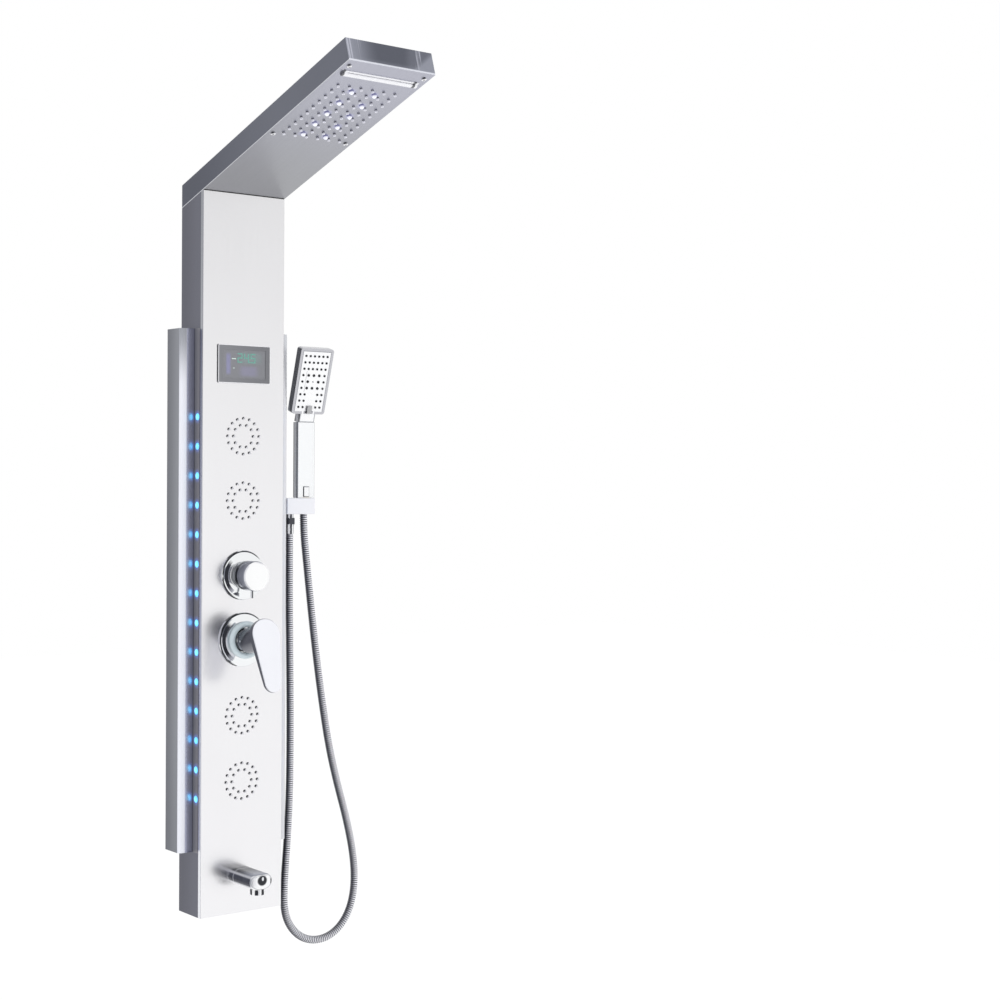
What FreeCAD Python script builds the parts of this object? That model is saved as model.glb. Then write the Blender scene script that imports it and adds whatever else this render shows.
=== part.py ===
"""Wall-hung shower panel column: a folded steel column with lit side wings, a sloping
overhead arm with rain and waterfall outlets, body jets, valves, tub spout and handset.

Axes: +X right, +Y into the wall, +Z up; the wall plane is Y = 0 and the front faces -Y.
The origin is the middle of the upper wall bracket's two screws, on the wall plane.
Sizes are in millimetres. Heights named *_height are above the column's lower end.
"""

import FreeCAD, Part

import math
import os

V = FreeCAD.Vector

# ------------------------------------------------------------------ driving sizes
sheet = 1.2                   # steel sheet of the column, wings and arm
gap = 0.05                    # clearance of pieces that are only slid together
seat_gap = 0.3                # clearance under a piece that is laid on its seat

# column
column_width = 150.0
column_depth = 70.0
column_height = 1160.0        # to the front top edge; the top is cut on the arm's slope
hang_height = 1010.0          # upper wall bracket screws
lip = 7.0                     # return of the front panel over the sides
flange = 16.0                 # back flange of the column case
web = 12.0                    # front flange of the case, behind the front panel

# wall brackets and the straps that hang on them
strap_y = -5.2                # front face of the straps
strap_tall = 30.0
hook_shelf = 15.0             # above a bracket's screws
lower_bracket_height = 130.0
bracket_thick = 2.5
bracket_width = 110.0
bracket_screw_spacing = 90.0
bracket_hole = 2.75

# wings and their lamps
wing_width = 25.0
wing_depth = 44.0
wing_bottom = 103.0
wing_top = 941.0
wing_corner = 7.0
lamp_count = 14
lamp_pitch = 47.0
lamp_height = 494.5           # middle of the row of lamps
lamp_radius = 5.5
lamp_dome = 1.6
strip_rim = 4.5               # depth of the strip's side rims

# arm
arm_slope = 17.5              # degrees above level
arm_length = 435.0            # along its underside from the column's front
arm_thickness = 35.0
arm_screw_x = 60.0
arm_screw_u = (-22.0, -50.0)  # behind the column's front
arm_screw_radius = 2.0
arm_bracket_thick = 3.0
arm_bracket_edge = 10.0       # bracket plate before and behind its screws

# spray plate; lengths named *_u run along the underside from the column's front
plate_length = 240.0
plate_tip = 5.0               # shell left between the plate and the arm's tip
plate_end = arm_length - plate_tip
plate_start = plate_end - plate_length
plate_margin = 4.0            # shell left beside the spray plate
plate_thickness = 1.5
nozzle_columns = 6
nozzle_rows = 10
nozzle_pitch_x = 20.0
nozzle_pitch_u = 17.25
nozzle_first_u = plate_start + 20.0
nozzle_radius = 2.2
nozzle_bore = 0.7
nozzle_proud = 3.0
mat_thickness = 1.5
spot_rows = 5
spot_pitch_u = 34.3
spot_first_u = plate_start + 27.2
spot_x = 20.0
spot_radius = 3.7
spot_proud = 1.8
spot_dome = 3.4
chamber_height = 12.0
chamber_wall = 2.0
plate_screw_x = 65.0
plate_screw_u = (plate_start + 13.8, plate_end - 10.5)
plate_screw_head = 4.0
plate_screw_dome = 2.2
plate_screw_radius = 1.45
plate_screw_length = 9.0
post_radius = 4.0             # posts of the arm shell that the plate is screwed to
fall_u = plate_end - 29.0     # middle of the waterfall bar
fall_length = 130.0
fall_width = 13.0
fall_slot = 1.6
fall_slot_shift = 2.2         # slot towards the arm's tip
fall_lip = 3.6                # how far the bar's rounded lip hangs below the plate
fall_lip_round = 2.6
fall_edge = 1.0               # how far the bar's thin edge hangs below the plate

# heights of what the front carries, each set from its neighbour
mixer_height = 442.0
valve_spacing = 104.0         # diverter above the mixer
high_jet_rise = 120.0         # third jet group above the diverter
high_jet_spacing = 104.0      # fourth group above the third
low_jet_drop = 123.0          # second jet group below the mixer
low_jet_spacing = 106.0       # first group below the second
display_rise = 116.0          # display above the fourth jet group
diverter_height = mixer_height + valve_spacing
jet_heights = (
    mixer_height - low_jet_drop - low_jet_spacing, mixer_height - low_jet_drop,
    diverter_height + high_jet_rise, diverter_height + high_jet_rise + high_jet_spacing,
)
display_height = jet_heights[-1] + display_rise

# display
display_width = 96.0
display_tall = 62.0
display_proud = 2.4
display_frame = 5.0           # from the outline to the tray behind the panel
display_edge = 1.3            # rim seen round the glass
display_corner = 2.5
glass_thickness = 1.4
glass_sunk = 0.3              # glass behind its frame's front
digit_width = 9.0
digit_tall = 15.0
digit_left = -12.0
digit_step = 12.0
digit_row = 10.0              # above the display's middle
digit_thick = 0.6
segment = 1.6                 # width of one bar of a digit

# body jets
jet_rings = ((28.9, 16), (18.2, 10))   # ring radius, holes
jet_hole = 2.4
jet_bore = 0.8
jet_proud = 1.4
jet_chamber_radius = 36.0
jet_chamber_depth = 14.0

# diverter
diverter_plate_radius = 40.0
diverter_plate_rise = 6.5
diverter_stem_radius = 9.0
knob_radius = 24.0
knob_back = 15.0              # in front of the panel
knob_front = 44.0
pointer_radius = 3.0
pointer_reach = 35.5
pointer_out = 31.0

# mixer
mixer_plate_radius = 44.0
mixer_plate_rise = 7.0
sleeve_radius = 19.5
sleeve_wall = 1.4
sleeve_front = 16.0
neck_radius = 15.4
ring_radius = 25.5
ring_tube = 5.0
ball_radius = 17.0
ball_out = 26.0               # pivot of the lever in front of the panel
lever_tilt = 16.0
lever_lift = 25.0             # how far the lever lifts to open; its hub is relieved for it
lever_hub_radius = 20.0
lever_hub_length = 42.0
lever_head_radius = 25.5
lever_tip_radius = 15.5
lever_reach = 78.0            # head centre to tip centre
lever_thick = 9.0
lever_tip_thick = 4.5
lever_pin_radius = 2.0
stem_radius = 8.0
running = 0.05                # radial clearance of turning parts

# valves behind the panel
valve_radius = 24.0
valve_back = -36.0
inlet_x = 34.0
inlet_radius = 10.48
inlet_length = 14.0
inlet_end = -14.0
inlet_arm_radius = 9.0
inlet_neck_radius = 8.5
inlet_bore = 6.0
inlet_arm_y = -44.0
port = 15.0                   # the diverter's top outlets lie this far off centre
port_y = -48.0                # depth of every valve port
side_port = 11.0              # the side outlets lie this far above and below the middle
stem_end_y = -50.0
pipe_radius = 6.0
pipe_bore = 4.0
branch_radius = 5.0
branch_bore = 3.4
pipe_bend = 20.0
pipe_y = -40.0
riser_x = 40.0
riser_y = -34.0
riser_straight = 30.0         # straight run above the diverter
riser_spread = 45.0           # height over which the risers spread
arm_pipe_v = 24.0             # risers above the arm's underside
rain_inlet_in = 20.0          # from the edge of the rain chamber's mat
side_pipe_x = 60.0

# turbine in the supply that feeds the lamps and the display
turbine_radius = 15.0
turbine_y0 = -62.0
turbine_y1 = -34.0
turbine_wall = 2.0
shaft_radius = 2.0

# tub spout
spout_height = 60.5
spout_width = 41.0
spout_tall = 25.0
spout_flange = 8.0
spout_out = 65.0
spout_bore = 6.0
spout_bulge = 60.0            # radius of its bowed end, seen from above
spout_cap = 1.0               # how far the end cap stands out
tail_radius = 10.0
tail_end = -29.0
spout_feed_y = -37.0
aerator_out = 51.0
aerator_radius = 12.2
aerator_tall = 9.0

# handset holder and hose outlet
holder_width = 55.0
holder_depth = 30.0
holder_bottom = 643.0
holder_top = holder_bottom + 27.0
outlet_x = 111.5
cradle_x = 139.0
hose_y = -31.0
cone_top_radius = 11.6
cone_end_radius = 9.2
cone_clearance = 0.4
cone_bottom = holder_bottom + 9.0
hose_passage = 8.6
nut_flats = 17.0
nut_top = holder_bottom - 6.0
nut_bottom = nut_top - 11.0
ferrule_bottom = nut_bottom - 16.0
nipple_radius = 6.5
nipple_bore = 4.0
nipple_in = 6.0               # into the holder

# hose
hose_radius = 6.5
hose_valley = 5.7
hose_bore = 4.0
hose_ribs = 196

# handset
handle_width = 35.0
handle_thick = 15.0
neck_height = holder_top + 127.0
neck_width = 29.0              # between the head and the wider handle
head_tilt = 16.4
head_width = 64.0
head_start = 14.0             # along the tilted front face, above the neck line
head_end = 126.0
head_thick = 15.0
head_corner = 5.0
face_margin = 4.5
face_thick = 1.5
tongue_width = 24.0
hand_row_first = 25.8
hand_row_pitch = 10.9
hand_column = 20.7            # outermost nozzle column
hand_nozzle = 1.9
hand_nozzle_big = 2.3
hand_nozzle_small = 0.9       # in the middle of the face
hand_nozzle_bore = 0.5
hand_proud = 0.8
water_radius = 4.5
slot_centre = 17.0            # slot of the mode tab, up the face
slot_tall = 5.0
slot_half = 9.0
tab_width = 10.0
tab_low = 19.8
tab_high = 28.2
tab_proud = 3.2
tab_foot = 3.4
tab_travel = 3.0
button_width = 10.0
button_tall = 16.0
button_proud = 1.5
button_travel = 1.2

# ------------------------------------------------------------------ derived places
half = column_width / 2
front = -column_depth
inner_front = front + sheet
slope_cos = math.cos(math.radians(arm_slope))
slope_sin = math.sin(math.radians(arm_slope))
wing_x = half + wing_width


def level(height):
    """Z of a height above the column's lower end."""
    return height - hang_height


# ------------------------------------------------------------------ helpers
def box(x0, x1, y0, y1, z0, z1):
    """Box between two opposite corners."""
    return Part.makeBox(x1 - x0, y1 - y0, z1 - z0, V(x0, y0, z0))


def rod(radius, start, end):
    """Solid cylinder between two points."""
    axis = end - start
    return Part.makeCylinder(radius, axis.Length, start, axis)


def turned(profile, height, x=0.0):
    """Solid turned about the panel's normal from (radius, distance in front) points."""
    points = [V(x + r, front - out, level(height)) for r, out in profile]
    face = Part.Face(Part.makePolygon(points + points[:1]))
    return face.revolve(V(x, 0, level(height)), V(0, 1, 0), 360)


def upright(profile, x, y):
    """Solid turned about a vertical axis from (radius, height) points."""
    points = [V(x + r, y, level(height)) for r, height in profile]
    face = Part.Face(Part.makePolygon(points + points[:1]))
    return face.revolve(V(x, y, 0), V(0, 0, 1), 360)


def capsule(width, tall, y0, y1, height):
    """Bar with a stadium section, centred on the column, between two depths."""
    r = tall / 2
    side = width / 2 - r
    z = level(height)
    a, b = V(-side, y0, z + r), V(side, y0, z + r)
    c, d = V(side, y0, z - r), V(-side, y0, z - r)
    edges = [
        Part.LineSegment(a, b).toShape(),
        Part.Arc(b, V(side + r, y0, z), c).toShape(),
        Part.LineSegment(c, d).toShape(),
        Part.Arc(d, V(-side - r, y0, z), a).toShape(),
    ]
    return Part.Face(Part.Wire(edges)).extrude(V(0, y1 - y0, 0))


def fillet_at(shape, radius, wanted):
    """Round the edges whose middle point passes the test."""
    edges = [e for e in shape.Edges if wanted(e.CenterOfMass)]
    return shape.makeFillet(radius, edges)


def near(value, target):
    """Whether two lengths agree."""
    return abs(value - target) < 0.01


def in_arm(shape):
    """Move a shape drawn in the arm's own frame to the arm.

    There, Y = -distance along the underside from the column's front, Z = height above it.
    """
    turn = FreeCAD.Rotation(V(1, 0, 0), -arm_slope)
    shape.Placement = FreeCAD.Placement(V(0, front, level(column_height)), turn)
    return shape.copy()


def arm_box(x0, x1, u0, u1, v0, v1):
    """Box in the arm's frame, placed on the arm."""
    return in_arm(box(x0, x1, -u1, -u0, v0, v1))


def arm_rod(radius, x, u, v0, v1):
    """Rod square to the arm's underside, placed on the arm."""
    return in_arm(rod(radius, V(x, -u, v0), V(x, -u, v1)))


def in_head(shape):
    """Move a shape drawn in the handset head's frame to the head.

    There, X = across, Y = depth behind the front face, Z = distance up the face.
    """
    turn = FreeCAD.Rotation(V(1, 0, 0), head_tilt)
    place = V(cradle_x, hose_y - handle_thick / 2, level(neck_height))
    shape.Placement = FreeCAD.Placement(place, turn)
    return shape.copy()


def rounded_path(points, share=0.45, bend=None):
    """Wire of straight runs joined by tangent arcs, with its least radius.

    Each arc takes a share of its shorter run, or a fixed bend radius.
    """
    edges = []
    radii = []
    start = points[0]
    for before, corner, after in zip(points, points[1:], points[2:]):
        back = before - corner
        ahead = after - corner
        half_turn = (math.pi - back.getAngle(ahead)) / 2
        reach = share * min(back.Length, ahead.Length)
        if bend:
            reach = min(reach, bend * math.tan(half_turn))
        radius = reach / math.tan(half_turn)
        radii.append(radius)
        back.normalize()
        ahead.normalize()
        first = corner + back * reach
        last = corner + ahead * reach
        inward = (back + ahead).normalize()
        middle = corner + inward * (radius / math.cos(half_turn) - radius)
        edges.append(Part.LineSegment(start, first).toShape())
        edges.append(Part.Arc(first, middle, last).toShape())
        start = last
    edges.append(Part.LineSegment(start, points[-1]).toShape())
    return Part.Wire(edges), min(radii) if radii else 0.0


def swept(points, radius):
    """Solid round bar along straight runs and bends."""
    path = rounded_path(points, bend=pipe_bend)[0]
    ring = Part.makeCircle(radius, points[0], points[1] - points[0])
    return path.makePipeShell([Part.Wire(ring)], True, False)


def pipe(points, branches=()):
    """Water pipe with its bore, and straight branches given by their two ends."""
    outer = swept(points, pipe_radius)
    bore = swept(points, pipe_bore)
    for start, end in branches:
        outer = outer.fuse(rod(branch_radius, start, end))
        bore = bore.fuse(rod(branch_bore, start, end))
    return outer.cut(bore)


def save(name, *solids):
    """Write one named sub-part."""
    shape = solids[0] if len(solids) == 1 else Part.makeCompound(list(solids))
    if not shape.isValid():
        raise ValueError(name + " is not a valid shape")
    shape.exportStep("parts/" + name + ".step")


# the arm's slope, as a cutter that removes all above the underside plane
def above_slope():
    return arm_box(-column_width, column_width, -2 * column_depth, column_depth, 0, column_depth)


def jet_holes(radius, y0, y1, height, trim=0.0):
    """Rods at the holes of one jet group."""
    rods = []
    for ring, count in jet_rings:
        for i in range(count):
            angle = 2 * math.pi * i / count
            x = ring * math.cos(angle)
            z = level(height) + ring * math.sin(angle)
            rods.append(rod(radius - trim, V(x, y0, z), V(x, y1, z)))
    return rods


def lamp_levels():
    """Z of each lamp of a wing."""
    low = lamp_height - lamp_pitch * (lamp_count - 1) / 2
    return [level(low + lamp_pitch * i) for i in range(lamp_count)]


# ------------------------------------------------------------------ column
strip_front = front + lip                 # the strip starts behind the panel's lip
strip_back = -wing_depth
lamp_y = (strip_front + strip_back) / 2 - 1.0
top_of_box = level(column_height)
bottom_of_box = level(0)
holder_mid = (holder_bottom + holder_top) / 2


def front_panel():
    """Folded front sheet with its side lips and all its holes."""
    outer = box(-half, half, front, front + lip, bottom_of_box, top_of_box)
    outer = fillet_at(outer, 1.0, lambda c: near(abs(c.x), half) and near(c.y, front) and
                      near(c.z, (bottom_of_box + top_of_box) / 2))
    inside = box(-half + sheet, half - sheet, inner_front, 0, bottom_of_box - 1, top_of_box + 1)
    holes = [above_slope()]
    for height in jet_heights:
        holes += jet_holes(jet_hole, front - 1, inner_front + 1, height)
    holes.append(rod(diverter_stem_radius + 1, V(0, front - 1, level(diverter_height)),
                     V(0, inner_front + 1, level(diverter_height))))
    holes.append(rod(neck_radius + 2, V(0, front - 1, level(mixer_height)),
                     V(0, inner_front + 1, level(mixer_height))))
    holes.append(rod(tail_radius + gap, V(0, front - 1, level(spout_height)),
                     V(0, inner_front + 1, level(spout_height))))
    x = display_width / 2 - display_frame
    z = display_tall / 2 - display_frame
    holes.append(box(-x, x, front - 1, inner_front + 1,
                     level(display_height) - z, level(display_height) + z))
    return outer.cut(inside).cut(holes)


def case_side(sign):
    """One folded side of the case, stepped in under the front panel's lip."""
    skin = half - sheet
    step_in = skin - gap
    face = inner_front + gap
    outline = [
        (half - flange, 0), (half, 0), (half, strip_front), (step_in, strip_front),
        (step_in, face), (step_in - web, face), (step_in - web, face + sheet),
        (step_in - sheet, face + sheet), (step_in - sheet, strip_front + sheet),
        (skin, strip_front + sheet), (skin, -sheet), (half - flange, -sheet),
    ]
    points = [V(sign * x, y, bottom_of_box) for x, y in outline]
    face_xy = Part.Face(Part.makePolygon(points + points[:1]))
    side = face_xy.extrude(V(0, 0, top_of_box - bottom_of_box))
    window = box(sign * half - sheet * 2, sign * half + sheet * 2, strip_front + sheet * 2,
                 strip_back, level(wing_bottom), level(wing_top))
    return side.cut(window)


def column_case():
    """Both folded sides, the end plate and the two hanging straps, welded together."""
    skin = half - sheet
    pieces = [case_side(-1), case_side(1)]
    pieces.append(box(-skin, skin, inner_front + gap, 0, bottom_of_box, bottom_of_box + sheet))
    for height in (hang_height, lower_bracket_height):
        z = level(height) + hook_shelf
        pieces.append(box(-skin, skin, strap_y, strap_y + sheet, z, z + strap_tall))
    case = pieces[0].fuse(pieces[1:])
    feed = rod(pipe_radius + 1, V(half - flange, hose_y, level(holder_mid)),
               V(half + 1, hose_y, level(holder_mid)))
    return case.cut([above_slope(), feed]).removeSplitter()


def wing(sign):
    """Hollow side wing with a rounded front corner, open at the back."""
    low, high = level(wing_bottom), level(wing_top)
    shell = box(half, wing_x, -wing_depth, 0, low, high)
    shell = fillet_at(shell, wing_corner, lambda c: near(c.x, wing_x) and near(c.y, -wing_depth)
                      and near(c.z, (low + high) / 2))
    hollow = box(half + sheet, wing_x - sheet, -wing_depth + sheet, 1, low + sheet, high - sheet)
    hollow = fillet_at(hollow, wing_corner - sheet, lambda c: near(c.x, wing_x - sheet)
                       and near(c.y, -wing_depth + sheet) and near(c.z, (low + high) / 2))
    shell = shell.cut(hollow)
    if sign < 0:
        return shell.mirror(V(0, 0, 0), V(1, 0, 0))
    feed = rod(pipe_radius + 1, V(half - 1, hose_y, level(holder_mid)),
               V(wing_x + 1, hose_y, level(holder_mid)))
    return shell.cut(feed)


strip_y0 = strip_front + sheet * 2 + gap
strip_y1 = strip_back - gap
strip_low = level(wing_bottom) + gap
strip_high = level(wing_top) - gap


def led_strip(sign):
    """Dark cover strip beside the wing: a channel with a hole for each lamp."""
    outer = box(half - strip_rim, half, strip_y0, strip_y1, strip_low, strip_high)
    groove = box(half - strip_rim - 1, half - sheet, strip_y0 + sheet, strip_y1 - sheet,
                 strip_low - 1, strip_high + 1)
    holes = [rod(lamp_radius + gap, V(half - strip_rim, lamp_y, z), V(half + 1, lamp_y, z))
             for z in lamp_levels()]
    strip = outer.cut(groove).cut(holes)
    return strip if sign > 0 else strip.mirror(V(0, 0, 0), V(1, 0, 0))


def lamp_lens(sign, z):
    """Domed lens with an inner flange."""
    flange_x = half - sheet - gap
    body = rod(lamp_radius, V(flange_x, lamp_y, z), V(half + 0.4, lamp_y, z))
    sphere_radius = (lamp_radius ** 2 + lamp_dome ** 2) / (2 * lamp_dome)
    ball = Part.makeSphere(sphere_radius, V(half + 0.4 + lamp_dome - sphere_radius, lamp_y, z))
    cap = rod(lamp_radius, V(half + 0.4, lamp_y, z), V(half + 0.4 + lamp_dome, lamp_y, z))
    rim = rod(lamp_radius + 1, V(flange_x - 1, lamp_y, z), V(flange_x, lamp_y, z))
    rim = rim.common(box(0, half, strip_y0 + sheet, strip_y1, z - 10, z + 10))
    lens = body.common(box(0, half * 2, strip_y0 + sheet / 2, strip_y1, z - 10, z + 10))
    lens = lens.fuse([cap.common(ball), rim]).removeSplitter()
    return lens if sign > 0 else lens.mirror(V(0, 0, 0), V(1, 0, 0))


def led_board(sign):
    """Lamp board held between the strip's rims, behind the lens flanges."""
    x1 = half - sheet - gap - 1
    zs = lamp_levels()
    board = box(x1 - 1.2, x1, strip_y0 + sheet, strip_y1 - sheet, zs[0] - 15, zs[-1] + 15)
    return board if sign > 0 else board.mirror(V(0, 0, 0), V(1, 0, 0))


def wall_bracket(height):
    """Wall bracket with two screw holes and the hook that carries the column's strap."""
    z = level(height)
    half_width = bracket_width / 2
    plate = box(-half_width, half_width, -bracket_thick, 0, z - hook_shelf, z + hook_shelf)
    shelf_y = strap_y - gap
    shelf = box(-half_width, half_width, shelf_y - bracket_thick, 0,
                z + hook_shelf - bracket_thick, z + hook_shelf)
    hook = box(-half_width, half_width, shelf_y - bracket_thick, shelf_y,
               z + hook_shelf - bracket_thick, z + hook_shelf + 9)
    x = bracket_screw_spacing / 2
    holes = [rod(bracket_hole, V(side, -20, z), V(side, 5, z)) for side in (-x, x)]
    return plate.fuse([shelf, hook]).cut(holes).removeSplitter()


# ------------------------------------------------------------------ arm
arm_inside = half - sheet
plate_x = half - plate_margin
top_v = arm_thickness - sheet
arm_screw_places = [(x, u) for x in (-arm_screw_x, arm_screw_x) for u in arm_screw_u]
plate_screw_places = [(x, u) for x in (-plate_screw_x, plate_screw_x) for u in plate_screw_u]


def behind_wall():
    """Everything past the column's back, as a cutter."""
    return box(-column_width, column_width, 0, 2 * column_depth, 0, 2 * column_height)


def riser_holes():
    """Upright cutters that let the two risers from the column into the arm."""
    low, high = top_of_box - column_depth / 2, top_of_box + 6
    return [rod(pipe_radius + 2, V(x, riser_y, low), V(x, riser_y, high))
            for x in (-riser_x, riser_x)]


def arm_shell():
    """Folded arm cover: top, sides, tip, back and the rim round the spray plate."""
    outer = arm_box(-half, half, -2 * column_depth, arm_length, 0, arm_thickness)
    hollow = arm_box(-arm_inside, arm_inside, -2 * column_depth, arm_length - sheet, sheet, top_v)
    hollow = hollow.cut(box(-half, half, -sheet, 2 * column_depth, 0, 2 * column_height))
    mouth = arm_box(-plate_x - gap, plate_x + gap, plate_start - gap, plate_end + gap, -1, sheet + 1)
    shell = outer.cut([behind_wall(), hollow, mouth] + riser_holes())
    posts = [arm_rod(post_radius, x, u, plate_thickness, top_v + sheet / 2)
             for x, u in plate_screw_places]
    shell = shell.fuse(posts)
    taps = [arm_rod(plate_screw_radius + gap, x, u, 0, plate_screw_length + 1)
            for x, u in plate_screw_places]
    taps += [arm_rod(arm_screw_radius + 2 * gap, x, u, -1, 3) for x, u in arm_screw_places]
    return shell.cut(taps).removeSplitter()


def arm_bracket():
    """Plate between the column's sides that the arm is screwed to."""
    x = half - sheet - gap
    plate = arm_box(-x, x, min(arm_screw_u) - arm_bracket_edge, max(arm_screw_u) + arm_bracket_edge,
                    -arm_bracket_thick, 0)
    taps = [arm_rod(arm_screw_radius + 2 * gap, px, u, -arm_bracket_thick - 1, 1)
            for px, u in arm_screw_places]
    return plate.cut(taps + riser_holes())


def arm_screw(x, u):
    """Pan-head screw through the arm's floor into the bracket."""
    stem = arm_rod(arm_screw_radius, x, u, -arm_bracket_thick, sheet)
    return stem.fuse(arm_rod(2 * arm_screw_radius, x, u, sheet, sheet + 2.4))


def domed(radius, x, u, v, rise):
    """Dome that stands down from a level of the arm."""
    ball_radius = (radius ** 2 + rise ** 2) / (2 * rise)
    ball = in_arm(Part.makeSphere(ball_radius, V(x, -u, v - rise + ball_radius)))
    return arm_rod(radius, x, u, v - rise, v).common(ball)


def plate_screw(x, u):
    """Round-head screw that holds the spray plate to its post."""
    head = domed(plate_screw_head, x, u, 0, plate_screw_dome)
    return head.fuse(arm_rod(plate_screw_radius, x, u, 0, plate_screw_length)).removeSplitter()


def nozzle_places():
    """Across and along the arm, for each rain nozzle."""
    left = -nozzle_pitch_x * (nozzle_columns - 1) / 2
    return [(left + nozzle_pitch_x * i, nozzle_first_u + nozzle_pitch_u * j)
            for i in range(nozzle_columns) for j in range(nozzle_rows)]


def spot_places():
    """Across and along the arm, for each lamp lens."""
    return [(x, spot_first_u + spot_pitch_u * j) for x in (-spot_x, spot_x)
            for j in range(spot_rows)]


mat_x = nozzle_pitch_x * (nozzle_columns - 1) / 2 + 7
mat_u0 = nozzle_first_u - 9
mat_u1 = nozzle_first_u + nozzle_pitch_u * (nozzle_rows - 1) + 9
chamber_v = plate_thickness + mat_thickness
chamber_top = chamber_v + chamber_height


def spray_plate():
    """Spray plate with holes for nozzles, lamps, waterfall and screws."""
    plate = arm_box(-plate_x, plate_x, plate_start, plate_end, 0, plate_thickness)
    holes = [arm_rod(nozzle_radius + gap, x, u, -1, 3) for x, u in nozzle_places()]
    holes += [arm_rod(spot_radius + gap, x, u, -1, 3) for x, u in spot_places()]
    holes += [arm_rod(plate_screw_radius + gap, x, u, -1, 3) for x, u in plate_screw_places]
    holes.append(arm_box(-fall_length / 2 - gap, fall_length / 2 + gap, fall_u - fall_width / 2 - gap,
                         fall_u + fall_width / 2 + gap, -1, 3))
    return plate.cut(holes)


def rain_mat():
    """Soft mat whose nozzles stand through the spray plate."""
    mat = arm_box(-mat_x, mat_x, mat_u0, mat_u1, plate_thickness, chamber_v)
    nubs = [arm_rod(nozzle_radius, x, u, -nozzle_proud, plate_thickness) for x, u in nozzle_places()]
    bores = [arm_rod(nozzle_bore, x, u, -nozzle_proud - 1, chamber_v + 1) for x, u in nozzle_places()]
    wells = [arm_rod(spot_radius + gap, x, u, 0, chamber_v + 1) for x, u in spot_places()]
    return mat.fuse(nubs).cut(bores + wells)


def rain_chamber():
    """Water chamber over the mat, with a dry well for each lamp lens."""
    outer = arm_box(-mat_x, mat_x, mat_u0, mat_u1, chamber_v, chamber_top)
    inner = arm_box(-mat_x + chamber_wall, mat_x - chamber_wall, mat_u0 + chamber_wall,
                    mat_u1 - chamber_wall, chamber_v - 1, chamber_top - chamber_wall)
    tubes = [arm_rod(spot_radius + 1.5, x, u, chamber_v, chamber_top) for x, u in spot_places()]
    wells = [arm_rod(spot_radius + gap, x, u, chamber_v - 1, chamber_top + 1)
             for x, u in spot_places()]
    inlet = arm_rod(pipe_bore, riser_x, rain_inlet_u, chamber_top - chamber_wall - 1, chamber_top + 1)
    return outer.cut(inner).fuse(tubes).cut(wells + [inlet])


def lamp_spot(x, u):
    """Lens of one arm lamp: a light rod with a domed end under the plate."""
    stem = arm_rod(spot_radius, x, u, -spot_proud, chamber_top)
    return stem.fuse(domed(spot_radius, x, u, -spot_proud, spot_dome)).removeSplitter()


def waterfall_bar():
    """Waterfall outlet: a bar with one long slot between a rounded lip and a thin edge."""
    length = fall_length / 2
    width = fall_width / 2
    slot_u = fall_u + fall_slot_shift
    bar = arm_box(-length, length, fall_u - width, fall_u + width, -fall_edge, chamber_v)
    lip = box(-length, length, -slot_u + fall_slot / 2, -fall_u + width, -fall_lip, 0)
    lip = in_arm(fillet_at(lip, fall_lip_round, lambda c: near(c.x, 0) and near(c.z, -fall_lip)))
    slot = arm_box(-length + 8, length - 8, slot_u - fall_slot / 2, slot_u + fall_slot / 2,
                   -2, chamber_v + 1)
    return bar.fuse(lip).cut(slot).removeSplitter()


fall_box_u = fall_width / 2 + 4


def waterfall_chamber():
    """Water chamber over the waterfall slot."""
    x = fall_length / 2 - 6
    outer = arm_box(-x, x, fall_u - fall_box_u, fall_u + fall_box_u, chamber_v, chamber_top)
    inner = arm_box(-x + chamber_wall, x - chamber_wall, fall_u - fall_box_u + chamber_wall,
                    fall_u + fall_box_u - chamber_wall, chamber_v - 1, chamber_top - chamber_wall)
    inlet = arm_rod(pipe_bore, -riser_x, fall_u, chamber_top - chamber_wall - 1, chamber_top + 1)
    return outer.cut([inner, inlet])


# ------------------------------------------------------------------ display
def flat_frame(width, tall, y0, y1, corner):
    """Rounded rectangular block on the panel at the display."""
    z = level(display_height)
    block = box(-width / 2, width / 2, y0, y1, z - tall / 2, z + tall / 2)
    return fillet_at(block, corner, lambda c: near(abs(c.x), width / 2) and
                     near(abs(c.z - z), tall / 2) and near(c.y, (y0 + y1) / 2))


display_inner_x = display_width / 2 - display_frame
display_inner_z = display_tall / 2 - display_frame
glass_x = display_width / 2 - display_edge
glass_z = display_tall / 2 - display_edge
glass_front = front - display_proud + glass_sunk
glass_back = glass_front + glass_thickness


def display_bezel():
    """Display frame with a tray that reaches through the panel."""
    z = level(display_height)
    rim = flat_frame(display_width, display_tall, front - display_proud, front, display_corner)
    tray = box(-display_inner_x + gap, display_inner_x - gap, front, front + 14,
               z - display_inner_z + gap, z + display_inner_z - gap)
    well = box(-display_inner_x + 2, display_inner_x - 2, front - display_proud - 1, front + 12,
               z - display_inner_z + 2, z + display_inner_z - 2)
    seat = box(-glass_x, glass_x, front - display_proud - 1, glass_back,
               z - glass_z, z + glass_z)
    seat = fillet_at(seat, display_corner - display_edge, lambda c: near(abs(c.x), glass_x) and
                     near(abs(c.z - z), glass_z))
    return rim.fuse(tray).cut([well, seat])


def display_glass():
    """Cover glass in the display frame."""
    z = level(display_height)
    x, tall = glass_x - gap, glass_z - gap
    glass = box(-x, x, glass_front, glass_back, z - tall, z + tall)
    return fillet_at(glass, display_corner - display_edge, lambda c: near(abs(c.x), x) and
                     near(abs(c.z - z), tall))


segments_of = {"2": "abged", "4": "fgbc", "5": "afgcd"}


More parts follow.
